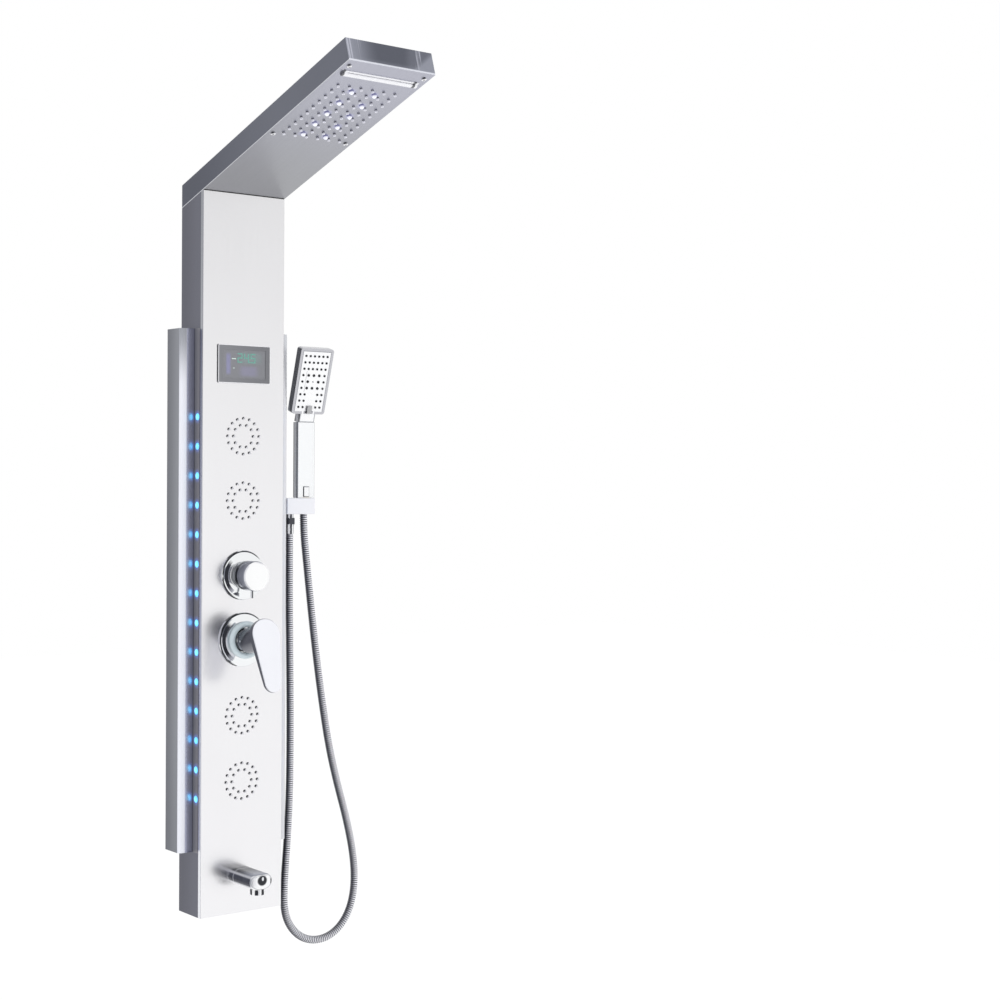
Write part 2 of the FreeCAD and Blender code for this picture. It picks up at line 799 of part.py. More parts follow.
def segment_box(name, x, z):
    """One bar of a seven-segment digit whose lower left corner is at x, z."""
    w, t, s = digit_width, digit_tall, segment
    places = {
        "a": (0, w, t - s, t), "d": (0, w, 0, s), "g": (0, w, (t - s) / 2, (t + s) / 2),
        "f": (0, s, t / 2, t), "b": (w - s, w, t / 2, t),
        "e": (0, s, 0, t / 2), "c": (w - s, w, 0, t / 2),
    }
    x0, x1, z0, z1 = places[name]
    return box(x + x0, x + x1, glass_back, glass_back + digit_thick, z + z0, z + z1)


def digit(text, x, z):
    """One seven-segment digit as a single solid."""
    bars = [segment_box(name, x, z) for name in segments_of[text]]
    return bars[0].fuse(bars[1:]).removeSplitter()


def display_digits():
    """Lit figures of the temperature read-out, on the back of the glass."""
    z = level(display_height) + digit_row - digit_tall / 2
    solids = [digit(text, digit_left + digit_step * i, z) for i, text in enumerate("245")]
    point_x = digit_left + digit_step * 2 - 2.2
    solids.append(box(point_x, point_x + segment, glass_back, glass_back + digit_thick, z, z + segment))
    return solids


def display_board():
    """Circuit board standing on the tray's floor, under the figures."""
    z = level(display_height)
    x = display_inner_x - 2.5
    tall = display_inner_z - 2.5
    board = box(-x, x, front + 6, front + 7.6, z - tall, z + tall)
    feet = [box(sx * x - 3, sx * x + 3, front + 7.6, front + 12, z + sz * tall - 3, z + sz * tall + 3)
            .common(box(-x, x, front, 0, z - tall, z + tall))
            for sx in (-1, 1) for sz in (-1, 1)]
    chip = box(-12, 12, glass_back + digit_thick, front + 6, z - 6, z + 18)
    return board.fuse(feet + [chip]).removeSplitter()


# ------------------------------------------------------------------ body jets
def jet_mat(height):
    """Soft jet mat behind the panel, its nozzles standing through the panel's holes."""
    z = level(height)
    mat = rod(jet_chamber_radius - 2, V(0, inner_front, z), V(0, inner_front + mat_thickness, z))
    nubs = jet_holes(jet_hole, front - jet_proud, inner_front, height, gap)
    bores = jet_holes(jet_bore, front - jet_proud - 1, inner_front + 3, height)
    return mat.fuse(nubs).cut(bores)


def jet_chamber(height):
    """Water chamber clamped over a jet mat."""
    z = level(height)
    back = inner_front + jet_chamber_depth
    cup = rod(jet_chamber_radius, V(0, inner_front, z), V(0, back, z))
    mat_seat = rod(jet_chamber_radius - 2 + gap, V(0, inner_front - 1, z),
                   V(0, inner_front + mat_thickness, z))
    hollow = rod(jet_chamber_radius - 4, V(0, inner_front, z), V(0, back - chamber_wall, z))
    inlet = rod(pipe_bore, V(0, back - chamber_wall - 1, z), V(0, back + 1, z))
    return cup.cut([mat_seat, hollow, inlet])


# ------------------------------------------------------------------ valves
def wall_plate(bore, radius, rise):
    """Domed wall plate with a stepped rim, turned about the panel's normal."""
    return [
        (bore, 0), (radius, 0), (radius, rise * 0.3), (radius - 1.3, rise * 0.52),
        (radius - 4.5, rise * 0.56), (radius - 10, rise * 0.82), (radius - 17, rise * 0.96),
        (radius - 22.2, rise), (bore, rise),
    ]


diverter_bore = diverter_stem_radius + running


def diverter_valve():
    """Diverter body with its stem bore and outlet sockets."""
    z = level(diverter_height)
    body = rod(valve_radius + 2, V(0, inner_front, z), V(0, valve_back, z))
    stubs = [rod(pipe_radius, V(x, port_y, z), V(x, port_y, z + valve_radius + 6))
             for x in (-port, 0, port)]
    stubs += [rod(pipe_radius, V(0, port_y, z + dz), V(side * (valve_radius + 6), port_y, z + dz))
              for side, dz in ((-1, 0), (1, side_port), (1, -side_port))]
    stubs.append(rod(pipe_radius, V(0, port_y, z), V(0, port_y, z - valve_radius - 2)))
    stem = rod(diverter_bore, V(0, front - 1, z), V(0, stem_end_y, z))
    return body.fuse(stubs).cut(stem).removeSplitter()


def diverter_stem():
    """Spindle from the valve into the knob."""
    z = level(diverter_height)
    return rod(diverter_stem_radius, V(0, stem_end_y - seat_gap, z), V(0, front - knob_back - 8, z))


def diverter_collar():
    """Ring between the wall plate and the knob."""
    rise = diverter_plate_rise
    bore = diverter_bore
    return [(bore, rise), (17.6, rise), (17.6, rise + 2), (16.2, rise + 3.2), (16.2, knob_back - 1.5),
            (bore, knob_back - 1.5)]


def diverter_knob():
    """Cylindrical knob with a softly domed face, bored for its stem and pointer."""
    r = knob_radius
    knob = turned([(0, knob_back), (r - 1, knob_back), (r, knob_back + 1), (r, knob_front - 3),
                   (r - 0.9, knob_front - 0.9), (r - 3, knob_front), (0, knob_front + 0.6)],
                  diverter_height)
    z = level(diverter_height)
    stem = rod(diverter_stem_radius, V(0, front, z), V(0, front - knob_back - 8, z))
    y = front - pointer_out
    socket = rod(pointer_radius, V(0, y, z - r + 4), V(0, y, z - r - 4))
    return knob.cut([stem, socket])


def diverter_pointer():
    """Pin under the knob that shows its position."""
    y = front - pointer_out
    z = level(diverter_height)
    pin = rod(pointer_radius, V(0, y, z - knob_radius + 4), V(0, y, z - pointer_reach))
    return fillet_at(pin, 0.8, lambda c: near(c.z, z - pointer_reach))


def mixer_valve():
    """Mixer body with the turret's bore and the hot and cold inlet tails."""
    z = level(mixer_height)
    body = rod(valve_radius, V(0, inner_front, z), V(0, valve_back, z))
    reach = inlet_x + inlet_arm_radius
    shoulder = inlet_end - inlet_length
    arms = rod(inlet_arm_radius, V(-reach, inlet_arm_y, z), V(reach, inlet_arm_y, z))
    tails = [rod(inlet_radius, V(x, shoulder, z), V(x, inlet_end, z)) for x in (-inlet_x, inlet_x)]
    tails += [rod(inlet_neck_radius, V(x, inlet_arm_y, z), V(x, shoulder, z))
              for x in (-inlet_x, inlet_x)]
    outlet = rod(pipe_radius, V(0, port_y, z), V(0, port_y, z + valve_radius + 3))
    stem = rod(stem_radius + running, V(0, front, z), V(0, stem_end_y, z))
    bores = [rod(inlet_bore, V(x, inlet_arm_y, z), V(x, inlet_end + 1, z))
             for x in (-inlet_x, inlet_x)]
    return body.fuse([arms, outlet] + tails).cut([stem] + bores).removeSplitter()


def mixer_sleeve():
    """Fixed collar that the lever's turret turns in."""
    bore = neck_radius + running
    rise = mixer_plate_rise
    return [(bore, -sheet), (bore + sleeve_wall, -sheet), (bore + sleeve_wall, rise), (sleeve_radius, rise),
            (sleeve_radius, rise + 3.6), (sleeve_radius - 0.8, rise + 4.2),
            (sleeve_radius - 0.8, rise + 5.0), (sleeve_radius, rise + 5.6),
            (sleeve_radius, sleeve_front - 1), (sleeve_radius - 1, sleeve_front),
            (bore, sleeve_front)]


def mixer_escutcheon():
    """Wall plate of the mixer."""
    bore = neck_radius + running + sleeve_wall + gap
    return turned(wall_plate(bore, mixer_plate_radius, mixer_plate_rise), mixer_height)


def mixer_ring():
    """Tinted ring round the lever's collar, seated on the wall plate."""
    centre = V(0, front - mixer_plate_rise - ring_tube + 0.6, level(mixer_height))
    return Part.makeTorus(ring_radius, ring_tube, centre, V(0, 1, 0)).cut(mixer_escutcheon())


def mixer_turret():
    """Turning neck, its stem, and the ball that the lever tips on."""
    z = level(mixer_height)
    neck = rod(neck_radius, V(0, front - 2, z), V(0, front - sleeve_front - seat_gap, z))
    stem = rod(stem_radius, V(0, stem_end_y - seat_gap, z), V(0, front - 2, z))
    ball = Part.makeSphere(ball_radius, V(0, front - ball_out, z))
    ball = ball.cut(box(-30, 30, front - sleeve_front - seat_gap, front, z - 30, z + 30))
    pin = rod(lever_pin_radius + running, V(-30, front - ball_out, z), V(30, front - ball_out, z))
    return neck.fuse([stem, ball]).cut(pin).removeSplitter()


def in_lever(shape):
    """Move a shape drawn round the lever's pivot, +Y inwards, to the tilted lever."""
    turn = FreeCAD.Rotation(V(1, 0, 0), -lever_tilt)
    shape.Placement = FreeCAD.Placement(V(0, front - ball_out, level(mixer_height)), turn)
    return shape.copy()


def paddle_outline():
    """Closed outline of the lever: round head and round tip joined by tangent lines."""
    big, small, reach = lever_head_radius, lever_tip_radius, lever_reach
    lean = math.asin((big - small) / reach)
    c, s = math.cos(lean), math.sin(lean)
    y = -lever_hub_length
    right_top, right_low = V(big * c, y, -big * s), V(small * c, y, -reach - small * s)
    left_top, left_low = V(-big * c, y, -big * s), V(-small * c, y, -reach - small * s)
    edges = [
        Part.Arc(left_top, V(0, y, big), right_top).toShape(),
        Part.LineSegment(right_top, right_low).toShape(),
        Part.Arc(right_low, V(0, y, -reach - small), left_low).toShape(),
        Part.LineSegment(left_low, left_top).toShape(),
    ]
    return Part.Face(Part.Wire(edges))


def mixer_lever():
    """Lever: a hub over the turret's ball and a paddle that thins towards its tip."""
    paddle = paddle_outline().extrude(V(0, -lever_thick, 0))
    reach = lever_reach + lever_tip_radius
    y_front = -lever_hub_length - lever_thick
    side = -lever_head_radius - 1
    wedge_side = [V(side, -lever_hub_length, -lever_hub_radius), V(side, -lever_hub_length, -reach - 1),
                  V(side, -lever_hub_length - lever_thick + lever_tip_thick, -reach - 1)]
    wedge = Part.Face(Part.makePolygon(wedge_side + wedge_side[:1])).extrude(V(-2 * side, 0, 0))
    paddle = paddle.cut(wedge)
    paddle = fillet_at(paddle, 1.8, lambda c: near(c.y, y_front))
    hub = rod(lever_hub_radius, V(0, 4, 0), V(0, -lever_hub_length, 0))
    cavity = Part.makeSphere(ball_radius + seat_gap, V(0, 0, 0))
    mouth = rod(ball_radius + seat_gap, V(0, 0, 0), V(0, 5, 0))
    relief = box(-30, 30, ball_out - sleeve_front - 0.8, 40, -40, 40)
    relief.rotate(V(0, 0, 0), V(1, 0, 0), lever_tilt + lever_lift)
    lever = in_lever(paddle.fuse(hub).cut([cavity, mouth, relief]))
    z = level(mixer_height)
    hole = rod(lever_pin_radius, V(-30, front - ball_out, z), V(30, front - ball_out, z))
    return lever.cut(hole).removeSplitter()


def lever_pin():
    """Cross pin of the lever."""
    x = lever_hub_radius - 0.5
    z = level(mixer_height)
    return rod(lever_pin_radius, V(-x, front - ball_out, z), V(x, front - ball_out, z))


turbine_height = (mixer_height + diverter_height) / 2


def turbine_housing():
    """Round housing with shaft bores and the two water ports."""
    z = level(turbine_height)
    body = rod(turbine_radius, V(0, turbine_y0, z), V(0, turbine_y1, z))
    low = level(mixer_height) + valve_radius + 3
    high = level(diverter_height) - valve_radius - 2
    ports = rod(pipe_radius, V(0, port_y, low), V(0, port_y, high))
    hollow = rod(turbine_radius - 3, V(0, turbine_y0 + turbine_wall, z), V(0, turbine_y1 - turbine_wall, z))
    bores = rod(shaft_radius + running, V(0, turbine_y0 + 0.5, z), V(0, turbine_y1 - 0.5, z))
    water = rod(pipe_bore, V(0, port_y, low - 1), V(0, port_y, high + 1))
    return body.fuse(ports).cut([hollow, bores, water]).removeSplitter()


def turbine_rotor():
    """Paddle wheel on its shaft."""
    z = level(turbine_height)
    y0, y1 = turbine_y0 + turbine_wall + 1, turbine_y1 - turbine_wall - 1
    hub = rod(5, V(0, y0, z), V(0, y1, z))
    shaft = rod(shaft_radius, V(0, turbine_y0 + 0.8, z), V(0, turbine_y1 - 0.8, z))
    blades = []
    for i in range(6):
        blade = box(-0.7, 0.7, y0, y1, z, z + turbine_radius - 3.8)
        blade.rotate(V(0, 0, z), V(0, 1, 0), 60 * i)
        blades.append(blade)
    return hub.fuse([shaft] + blades).removeSplitter()


# ------------------------------------------------------------------ pipes
rain_inlet_u = mat_u0 + rain_inlet_in


def arm_point(x, u, v):
    """Point of the arm's frame in the part's frame."""
    y = front - u * slope_cos + v * slope_sin
    z = level(column_height) + u * slope_sin + v * slope_cos
    return V(x, y, z)


def riser(x, u_end):
    """Riser from a top outlet of the diverter, along the arm and down into its chamber."""
    sign = 1 if x > 0 else -1
    top = level(diverter_height) + valve_radius + 6
    turn_u = -(riser_y - front) / slope_cos + arm_pipe_v * slope_sin / slope_cos
    return pipe([V(sign * port, port_y, top), V(sign * port, port_y, top + riser_straight),
                 V(x, riser_y, top + riser_straight + riser_spread), arm_point(x, turn_u, arm_pipe_v),
                 arm_point(x, u_end, arm_pipe_v), arm_point(x, u_end, chamber_top)])


def jet_feed_upper():
    """Pipe from the diverter up to the two upper jet chambers."""
    back = inner_front + jet_chamber_depth
    top = level(diverter_height) + valve_radius + 6
    heights = jet_heights[2:]
    branches = [(V(0, port_y, level(h)), V(0, back, level(h))) for h in heights]
    return pipe_straight(V(0, port_y, top), V(0, port_y, level(heights[-1]) + 8), branches)


def pipe_straight(start, end, branches):
    """Straight water pipe with branches, closed at its far end."""
    outer = rod(pipe_radius, start, end)
    along = (end - start).normalize()
    bore = rod(pipe_bore, start - along, end - along * 2)
    for first, last in branches:
        outer = outer.fuse(rod(branch_radius, first, last))
        reach = (last - first).normalize()
        bore = bore.fuse(rod(branch_bore, first, last + reach))
    return outer.cut(bore)


def jet_feed_lower():
    """Pipe from the diverter's left outlet round the mixer to the two lower jet chambers."""
    back = inner_front + jet_chamber_depth
    z = level(diverter_height)
    down = level((jet_heights[1] + jet_chamber_radius + mixer_height - valve_radius) / 2)
    heights = jet_heights[:2]
    points = [V(-valve_radius - 6, port_y, z), V(-side_pipe_x, port_y, z),
              V(-side_pipe_x, port_y, down), V(0, port_y, down),
              V(0, port_y, level(heights[0]) - 8)]
    branches = [(V(0, port_y, level(h)), V(0, back, level(h))) for h in heights]
    return pipe(points, branches)


def spout_feed():
    """Pipe from the diverter's lower right outlet down to the spout's tail."""
    z = level(diverter_height) - side_port
    low = level(spout_height)
    feed = pipe([V(valve_radius + 6, port_y, z), V(side_pipe_x, port_y, z),
                 V(side_pipe_x, spout_feed_y, low), V(tail_radius / 2, spout_feed_y, low)])
    return feed.cut(rod(tail_radius, V(0, front, low), V(0, tail_end, low)))


def handset_feed():
    """Pipe from the diverter's upper right outlet to the hose outlet in the holder."""
    z = level(diverter_height) + side_port
    x = riser_x + 3 * pipe_radius
    return pipe([V(valve_radius + 6, port_y, z), V(x, port_y, z), V(x, hose_y, level(holder_mid)),
                 V(wing_x, hose_y, level(holder_mid))])


# ------------------------------------------------------------------ tub spout
def spout_root():
    """Flange between the panel and the spout, with the tail through the panel."""
    z = level(spout_height)
    block = capsule(spout_width, spout_tall, front - spout_flange, front, spout_height)
    tail = rod(tail_radius, V(0, front, z), V(0, tail_end, z))
    bore = rod(spout_bore, V(0, front - spout_flange - 1, z), V(0, tail_end - 2, z))
    side = rod(pipe_bore, V(0, spout_feed_y, z), V(tail_radius + 1, spout_feed_y, z))
    return block.fuse(tail).cut([bore, side]).removeSplitter()


def bowed(shape, out):
    """Trim a bar's end to a wide upright bow that stands this far in front of the panel."""
    z = level(spout_height)
    y = front - out + spout_bulge
    bow = rod(spout_bulge, V(0, y, z - spout_tall), V(0, y, z + spout_tall))
    return shape.common(bow)


def spout_body():
    """Oval spout with a bowed end, its raised cap and the outlet socket underneath."""
    z = level(spout_height)
    y_end = front - spout_out
    block = capsule(spout_width, spout_tall, y_end, front - spout_flange, spout_height)
    block = bowed(block, spout_out)
    block = fillet_at(block, 3.2, lambda c: c.y < y_end + 5)
    cap = capsule(spout_width - 8.5, spout_tall - 5.5, y_end - spout_cap, y_end + 4, spout_height)
    cap = bowed(cap, spout_out + spout_cap)
    cap = fillet_at(cap, 0.8, lambda c: c.y < y_end + 2)
    y = front - aerator_out
    bore = rod(spout_bore, V(0, y, z), V(0, front, z))
    mouth = rod(9.5, V(0, y, z), V(0, y, z - spout_tall))
    return block.fuse(cap).cut([bore, mouth]).removeSplitter()


def spout_aerator():
    """Aerator ring screwed up into the spout, with its mesh disc."""
    low = spout_height - spout_tall / 2
    r = aerator_radius
    profile = [(r - 3.2, low - aerator_tall), (r - 0.6, low - aerator_tall), (r, low - aerator_tall + 0.6),
               (r, low - 0.4), (r - 0.4, low), (9.5 - gap, low), (9.5 - gap, low + 6), (7, low + 6),
               (7, low - aerator_tall + 3.5), (r - 3.2, low - aerator_tall + 3.5)]
    ring = upright(profile, 0, front - aerator_out)
    mesh = upright([(0, low - aerator_tall + 2), (r - 3.2, low - aerator_tall + 2),
                    (r - 3.2, low - aerator_tall + 3.5), (0, low - aerator_tall + 3.5)],
                   0, front - aerator_out)
    return ring.fuse(mesh).removeSplitter()


# ------------------------------------------------------------------ holder and hose
holder_front = -wing_depth
holder_back = holder_front + holder_depth


def cone_profile(clearance, top_height):
    """Tapered plug of the handset, or its seat, as (radius, height) points."""
    slope = (cone_top_radius - cone_end_radius) / (holder_top - cone_bottom)
    top_radius = cone_end_radius + slope * (top_height - cone_bottom)
    return [(0, cone_bottom), (cone_end_radius + clearance, cone_bottom),
            (top_radius + clearance, top_height), (0, top_height)]


def holder_block():
    """Holder on the right wing: the handset's tapered seat and the hose outlet."""
    x1 = wing_x + holder_width
    low, high = level(holder_bottom), level(holder_top)
    block = box(wing_x, x1, holder_front, holder_back, low, high)
    block = fillet_at(block, 4.0, lambda c: near(c.x, x1) and near(c.z, (low + high) / 2))
    block = fillet_at(block, 1.5, lambda c: near(c.z, high) or near(c.z, low))
    seat = upright(cone_profile(cone_clearance, holder_top + 1), cradle_x, hose_y)
    passage = rod(hose_passage, V(cradle_x, hose_y, low - 1), V(cradle_x, hose_y, level(cone_bottom) + 1))
    feed = rod(pipe_bore, V(wing_x - 1, hose_y, level(holder_mid)), V(outlet_x, hose_y, level(holder_mid)))
    drop = rod(pipe_bore, V(outlet_x, hose_y, low), V(outlet_x, hose_y, level(holder_mid)))
    socket = rod(nipple_radius + gap, V(outlet_x, hose_y, low - 1), V(outlet_x, hose_y, low + nipple_in))
    return block.cut([seat, passage, feed, drop, socket]).removeSplitter()


def outlet_nipple():
    """Nipple from the holder down into the hose nut."""
    high = level(holder_bottom) + nipple_in
    tube = rod(nipple_radius, V(outlet_x, hose_y, level(nut_bottom)), V(outlet_x, hose_y, high))
    return tube.cut(rod(nipple_bore, V(outlet_x, hose_y, level(nut_bottom) - 1),
                        V(outlet_x, hose_y, high + 1)))


def hose_nut():
    """Hexagon nut of the hose, round the nipple."""
    corner = nut_flats / 2 / math.cos(math.pi / 6)
    points = [V(outlet_x + corner * math.cos(math.pi / 3 * i), hose_y + corner * math.sin(math.pi / 3 * i),
                level(nut_bottom)) for i in range(6)]
    hexagon = Part.Face(Part.makePolygon(points + points[:1]))
    nut = hexagon.extrude(V(0, 0, nut_top - nut_bottom))
    ends = upright([(0, nut_bottom), (corner - 0.9, nut_bottom), (corner, nut_bottom + 0.9),
                    (corner, nut_top - 0.9), (corner - 0.9, nut_top), (0, nut_top)], outlet_x, hose_y)
    bore = rod(nipple_radius + gap, V(outlet_x, hose_y, level(nut_bottom) - 1),
               V(outlet_x, hose_y, level(nut_top) + 1))
    return nut.common(ends).cut(bore)


def hose_ferrule():
    """Smooth ferrule between the nut and the ribbed hose."""
    r = hose_radius
    return upright([(nipple_bore, ferrule_bottom), (r, ferrule_bottom), (r + 0.5, ferrule_bottom + 2),
                    (r + 0.5, nut_bottom - 3), (r + 1.2, nut_bottom), (nipple_bore, nut_bottom)],
                   outlet_x, hose_y)


# one rib: share of the rib's pitch, and radius there
rib_profile = ((0.0, hose_valley), (0.22, hose_radius), (0.66, hose_radius), (0.88, hose_valley))

# the hose's route, from its ferrule down, round and up into the holder:
# distance right of the column's middle, distance from the wall, height
hose_route = [
    (111.5, -31.0, 610.0), (111.5, -31.0, 515.0), (113.2, -31.4, 405.0), (114.4, -32.0, 290.0),
    (113.4, -32.8, 180.0), (108.8, -33.6, 98.0), (102.6, -34.6, 32.0), (101.4, -35.6, -18.0),
    (112.6, -36.8, -47.5), (134.1, -38.0, -68.8), (161.4, -39.0, -77.8), (190.1, -39.6, -74.2),
    (215.2, -39.8, -57.6), (233.4, -39.4, -28.4), (241.4, -38.6, 12.0), (238.2, -37.4, 62.0),
    (224.4, -36.0, 124.0), (206.4, -34.8, 184.0), (190.6, -33.8, 246.0), (178.0, -33.0, 316.0),
    (166.4, -32.2, 392.0), (155.4, -31.6, 476.0), (145.6, -31.2, 560.0), (139.0, -31.0, 616.0),
    (139.0, -31.0, 652.0),
]


def circle_at(point, along, radius):
    """Circle round a point of the route, its seam kept towards the wall."""
    z_axis = V(along).normalize()
    x_axis = z_axis.cross(V(0, 1, 0)).normalize()
    y_axis = z_axis.cross(x_axis)
    matrix = FreeCAD.Matrix(
        x_axis.x, y_axis.x, z_axis.x, point.x, x_axis.y, y_axis.y, z_axis.y, point.y,
        x_axis.z, y_axis.z, z_axis.z, point.z, 0, 0, 0, 1)
    ring = Part.Wire(Part.makeCircle(radius))
    ring.Placement = FreeCAD.Placement(matrix)
    return ring


def path_point(edges, distance):
    """Point and direction at a distance along a list of edges."""
    for edge in edges:
        if distance <= edge.Length or edge is edges[-1]:
            at = edge.getParameterByLength(min(distance, edge.Length))
            return edge.valueAt(at), edge.tangentAt(at)
        distance -= edge.Length


def hose():
    """Ribbed metal hose with its bore: ribs of four circles each, and plain ends."""
    points = [V(x, y, level(height)) for x, y, height in hose_route]
    path, least = rounded_path(points)
    print("hose length %.1f, least radius %.1f" % (path.Length, least))
    edges = path.OrderedEdges
    plain = 2 * hose_radius
    pitch = (path.Length - 2 * plain) / hose_ribs
    ends = (path.Length - plain, path.Length)
    outer = [circle_at(*path_point(edges, at), hose_radius) for at in (0, plain - 0.3)]
    inner = [circle_at(*path_point(edges, 0), hose_bore)]
    for i in range(hose_ribs):
        start = plain + pitch * i
        inner.append(circle_at(*path_point(edges, start), hose_bore))
        for share, radius in rib_profile:
            outer.append(circle_at(*path_point(edges, start + pitch * share), radius))
    outer += [circle_at(*path_point(edges, at), hose_radius) for at in ends]
    inner += [circle_at(*path_point(edges, at), hose_bore) for at in ends]
    solid = Part.makeLoft(outer, True, True).cut(Part.makeLoft(inner, True, True))
    plain_volume = math.pi * (hose_radius ** 2 - hose_bore ** 2) * path.Length
    print("hose volume %.0f, plain tube %.0f" % (solid.Volume, plain_volume))
    return solid


# ------------------------------------------------------------------ handset
handle_low = holder_top + seat_gap
handle_front = hose_y - handle_thick / 2
face_x = head_width / 2 - face_margin
face_low = head_start + face_margin
face_high = head_end - face_margin


def hand_nozzles():
    """Across, up the face and radius, for each handset nozzle, from the lowest row."""
    places = []
    step = 2 * hand_column / 5
    for row in range(9):
        up = hand_row_first + hand_row_pitch * row
        if row < 3:
            inner = [(-hand_column + step, hand_nozzle), (hand_column - step, hand_nozzle)]
        elif row < 6:
            middle = hand_nozzle_small if row == 4 else hand_nozzle_big
            inner = [(-hand_column / 2, hand_nozzle_big), (0, middle), (hand_column / 2, hand_nozzle_big)]
        else:
            inner = [(-hand_column + step * i, hand_nozzle) for i in range(1, 5)]
        for x, radius in [(-hand_column, hand_nozzle)] + inner + [(hand_column, hand_nozzle)]:
            places.append((x, up, radius))
    return places


def head_rods(extra, y0, y1):
    """Rods at the handset's nozzles, with a radial clearance."""
    return [in_head(rod(radius + extra, V(x, y0, up), V(x, y1, up))) for x, up, radius in hand_nozzles()]


def face_outline(trim, y0, y1):
    """The face's own shape: a wide plate and a tongue down to the neck."""
    wide = box(-face_x + trim, face_x - trim, y0, y1, face_low + trim, face_high - trim)
    tongue = box(-tongue_width / 2 + trim, tongue_width / 2 - trim, y0, y1, 2 + trim, face_low + trim)
    return in_head(wide.fuse(tongue).removeSplitter())


cavity_x = face_x - 3
cavity_low = face_low + 2
cavity_high = face_high - 3


def handset_shell():
    """Head and handle in one shell, with the pocket of the face, chamber and waterway."""
    head = box(-head_width / 2, head_width / 2, 0, head_thick, head_start, head_end)
    head = fillet_at(head, head_corner, lambda c: near(abs(c.x), head_width / 2) and
                     near(c.y, head_thick / 2))
    head = fillet_at(head, 2.5, lambda c: near(c.y, head_thick))
    neck = box(-neck_width / 2, neck_width / 2, 0, head_thick, -2, head_start + 2)
    low, high = level(handle_low), level(neck_height)
    handle = box(cradle_x - handle_width / 2, cradle_x + handle_width / 2, handle_front,
                 handle_front + handle_thick, low, high)
    handle = fillet_at(handle, 3.0, lambda c: near(abs(c.x - cradle_x), handle_width / 2) and
                       near(c.z, (low + high) / 2))
    shell = in_head(head.fuse(neck)).fuse(handle)
    pocket = face_outline(0, -1, face_thick)
    chamber = in_head(box(-cavity_x, cavity_x, 0, head_thick - 2.5, cavity_low, cavity_high))
    water = rod(water_radius, V(cradle_x, hose_y, low - 1), V(cradle_x, hose_y, high - 4))
    water_up = in_head(rod(water_radius, V(0, handle_thick / 2, -8), V(0, handle_thick / 2, cavity_low + 1)))
    button = box(cradle_x - button_width / 2 - 0.2, cradle_x + button_width / 2 + 0.2,
                 handle_front - 1, handle_front + 1.5 + button_travel + seat_gap,
                 low + 2, low + 2.4 + button_tall)
    return shell.cut([pocket, chamber, water, water_up, button]).removeSplitter()


def handset_face():
    """Face plate with its nozzle holes and the slot of the mode tab."""
    plate = face_outline(gap, 0, face_thick)
    slot = in_head(box(-slot_half, slot_half, -1, face_thick + 1, slot_centre - slot_tall / 2,
                       slot_centre + slot_tall / 2))
    return plate.cut(head_rods(gap, -1, 3) + [slot])


def handset_mat():
    """Soft nozzle mat behind the face plate."""
    mat = in_head(box(-cavity_x + gap, cavity_x - gap, face_thick, face_thick + mat_thickness,
                      cavity_low + gap, cavity_high - gap))
    return mat.fuse(head_rods(0, -hand_proud, face_thick)).cut(
        [in_head(rod(hand_nozzle_bore, V(x, -3, up), V(x, 5, up))) for x, up, radius in hand_nozzles()])


def mode_tab():
    """Sliding tab of the spray modes, with a foot in its slot."""
    tab = box(-tab_width / 2, tab_width / 2, -tab_proud, -seat_gap, tab_low, tab_high)
    tab = fillet_at(tab, 0.8, lambda c: near(c.y, -tab_proud))
    foot = box(-tab_foot, tab_foot, -tab_proud + 0.9, face_thick - 0.2,
               slot_centre - slot_tall / 2 + 0.4, slot_centre + slot_tall / 2 - 0.4)
    bridge = box(-tab_foot, tab_foot, -tab_proud + 0.9, -seat_gap, slot_centre, tab_low + 1)
    return in_head(tab.fuse([foot, bridge]).removeSplitter())


def pause_button():
    """Push button at the handle's foot."""
    low = level(handle_low) + 2.2
    button = box(cradle_x - button_width / 2, cradle_x + button_width / 2, handle_front - button_proud,
                 handle_front + 1.5, low, low + button_tall)
    return fillet_at(button, 0.8, lambda c: near(c.y, handle_front - button_proud))


def handset_plug():
    """Tapered plug under the handle, which sits in the holder."""
    profile = cone_profile(0, handle_low)
    plug = upright(profile, cradle_x, hose_y)
    return plug.cut(rod(hose_bore, V(cradle_x, hose_y, level(cone_bottom) - 1),
                        V(cradle_x, hose_y, level(handle_low) + 1)))


# ------------------------------------------------------------------ write the sub-parts
os.makedirs("parts", exist_ok=True)

save("column_case", column_case())
save("front_panel", front_panel())
save("wing_left", wing(-1))
save("wing_right", wing(1))
save("led_strip_left", led_strip(-1))
save("led_strip_right", led_strip(1))
save("led_lenses", *[lamp_lens(sign, z) for sign in (-1, 1) for z in lamp_levels()])
save("led_boards", led_board(-1), led_board(1))
save("wall_brackets", wall_bracket(hang_height), wall_bracket(lower_bracket_height))

save("arm_bracket", arm_bracket())
save("arm_screws", *[arm_screw(x, u) for x, u in arm_screw_places])
save("arm_shell", arm_shell())
save("spray_plate", spray_plate())
save("plate_screws", *[plate_screw(x, u) for x, u in plate_screw_places])
save("rain_nozzle_mat", rain_mat())
save("rain_chamber", rain_chamber())
save("arm_lamp_lenses", *[lamp_spot(x, u) for x, u in spot_places()])
save("arm_lamp_board", arm_box(-spot_x - 8, spot_x + 8, spot_first_u - 12,
                               spot_first_u + spot_pitch_u * (spot_rows - 1) + 12,
                               chamber_top, chamber_top + 1.6))
save("waterfall_bar", waterfall_bar())
save("waterfall_chamber", waterfall_chamber())

save("display_bezel", display_bezel())
save("display_glass", display_glass())
save("display_digits", *display_digits())
save("display_board", display_board())

for number, height in enumerate(jet_heights, 1):
    save("jet_mat_%d" % number, jet_mat(height))
save("jet_chambers", *[jet_chamber(height) for height in jet_heights])

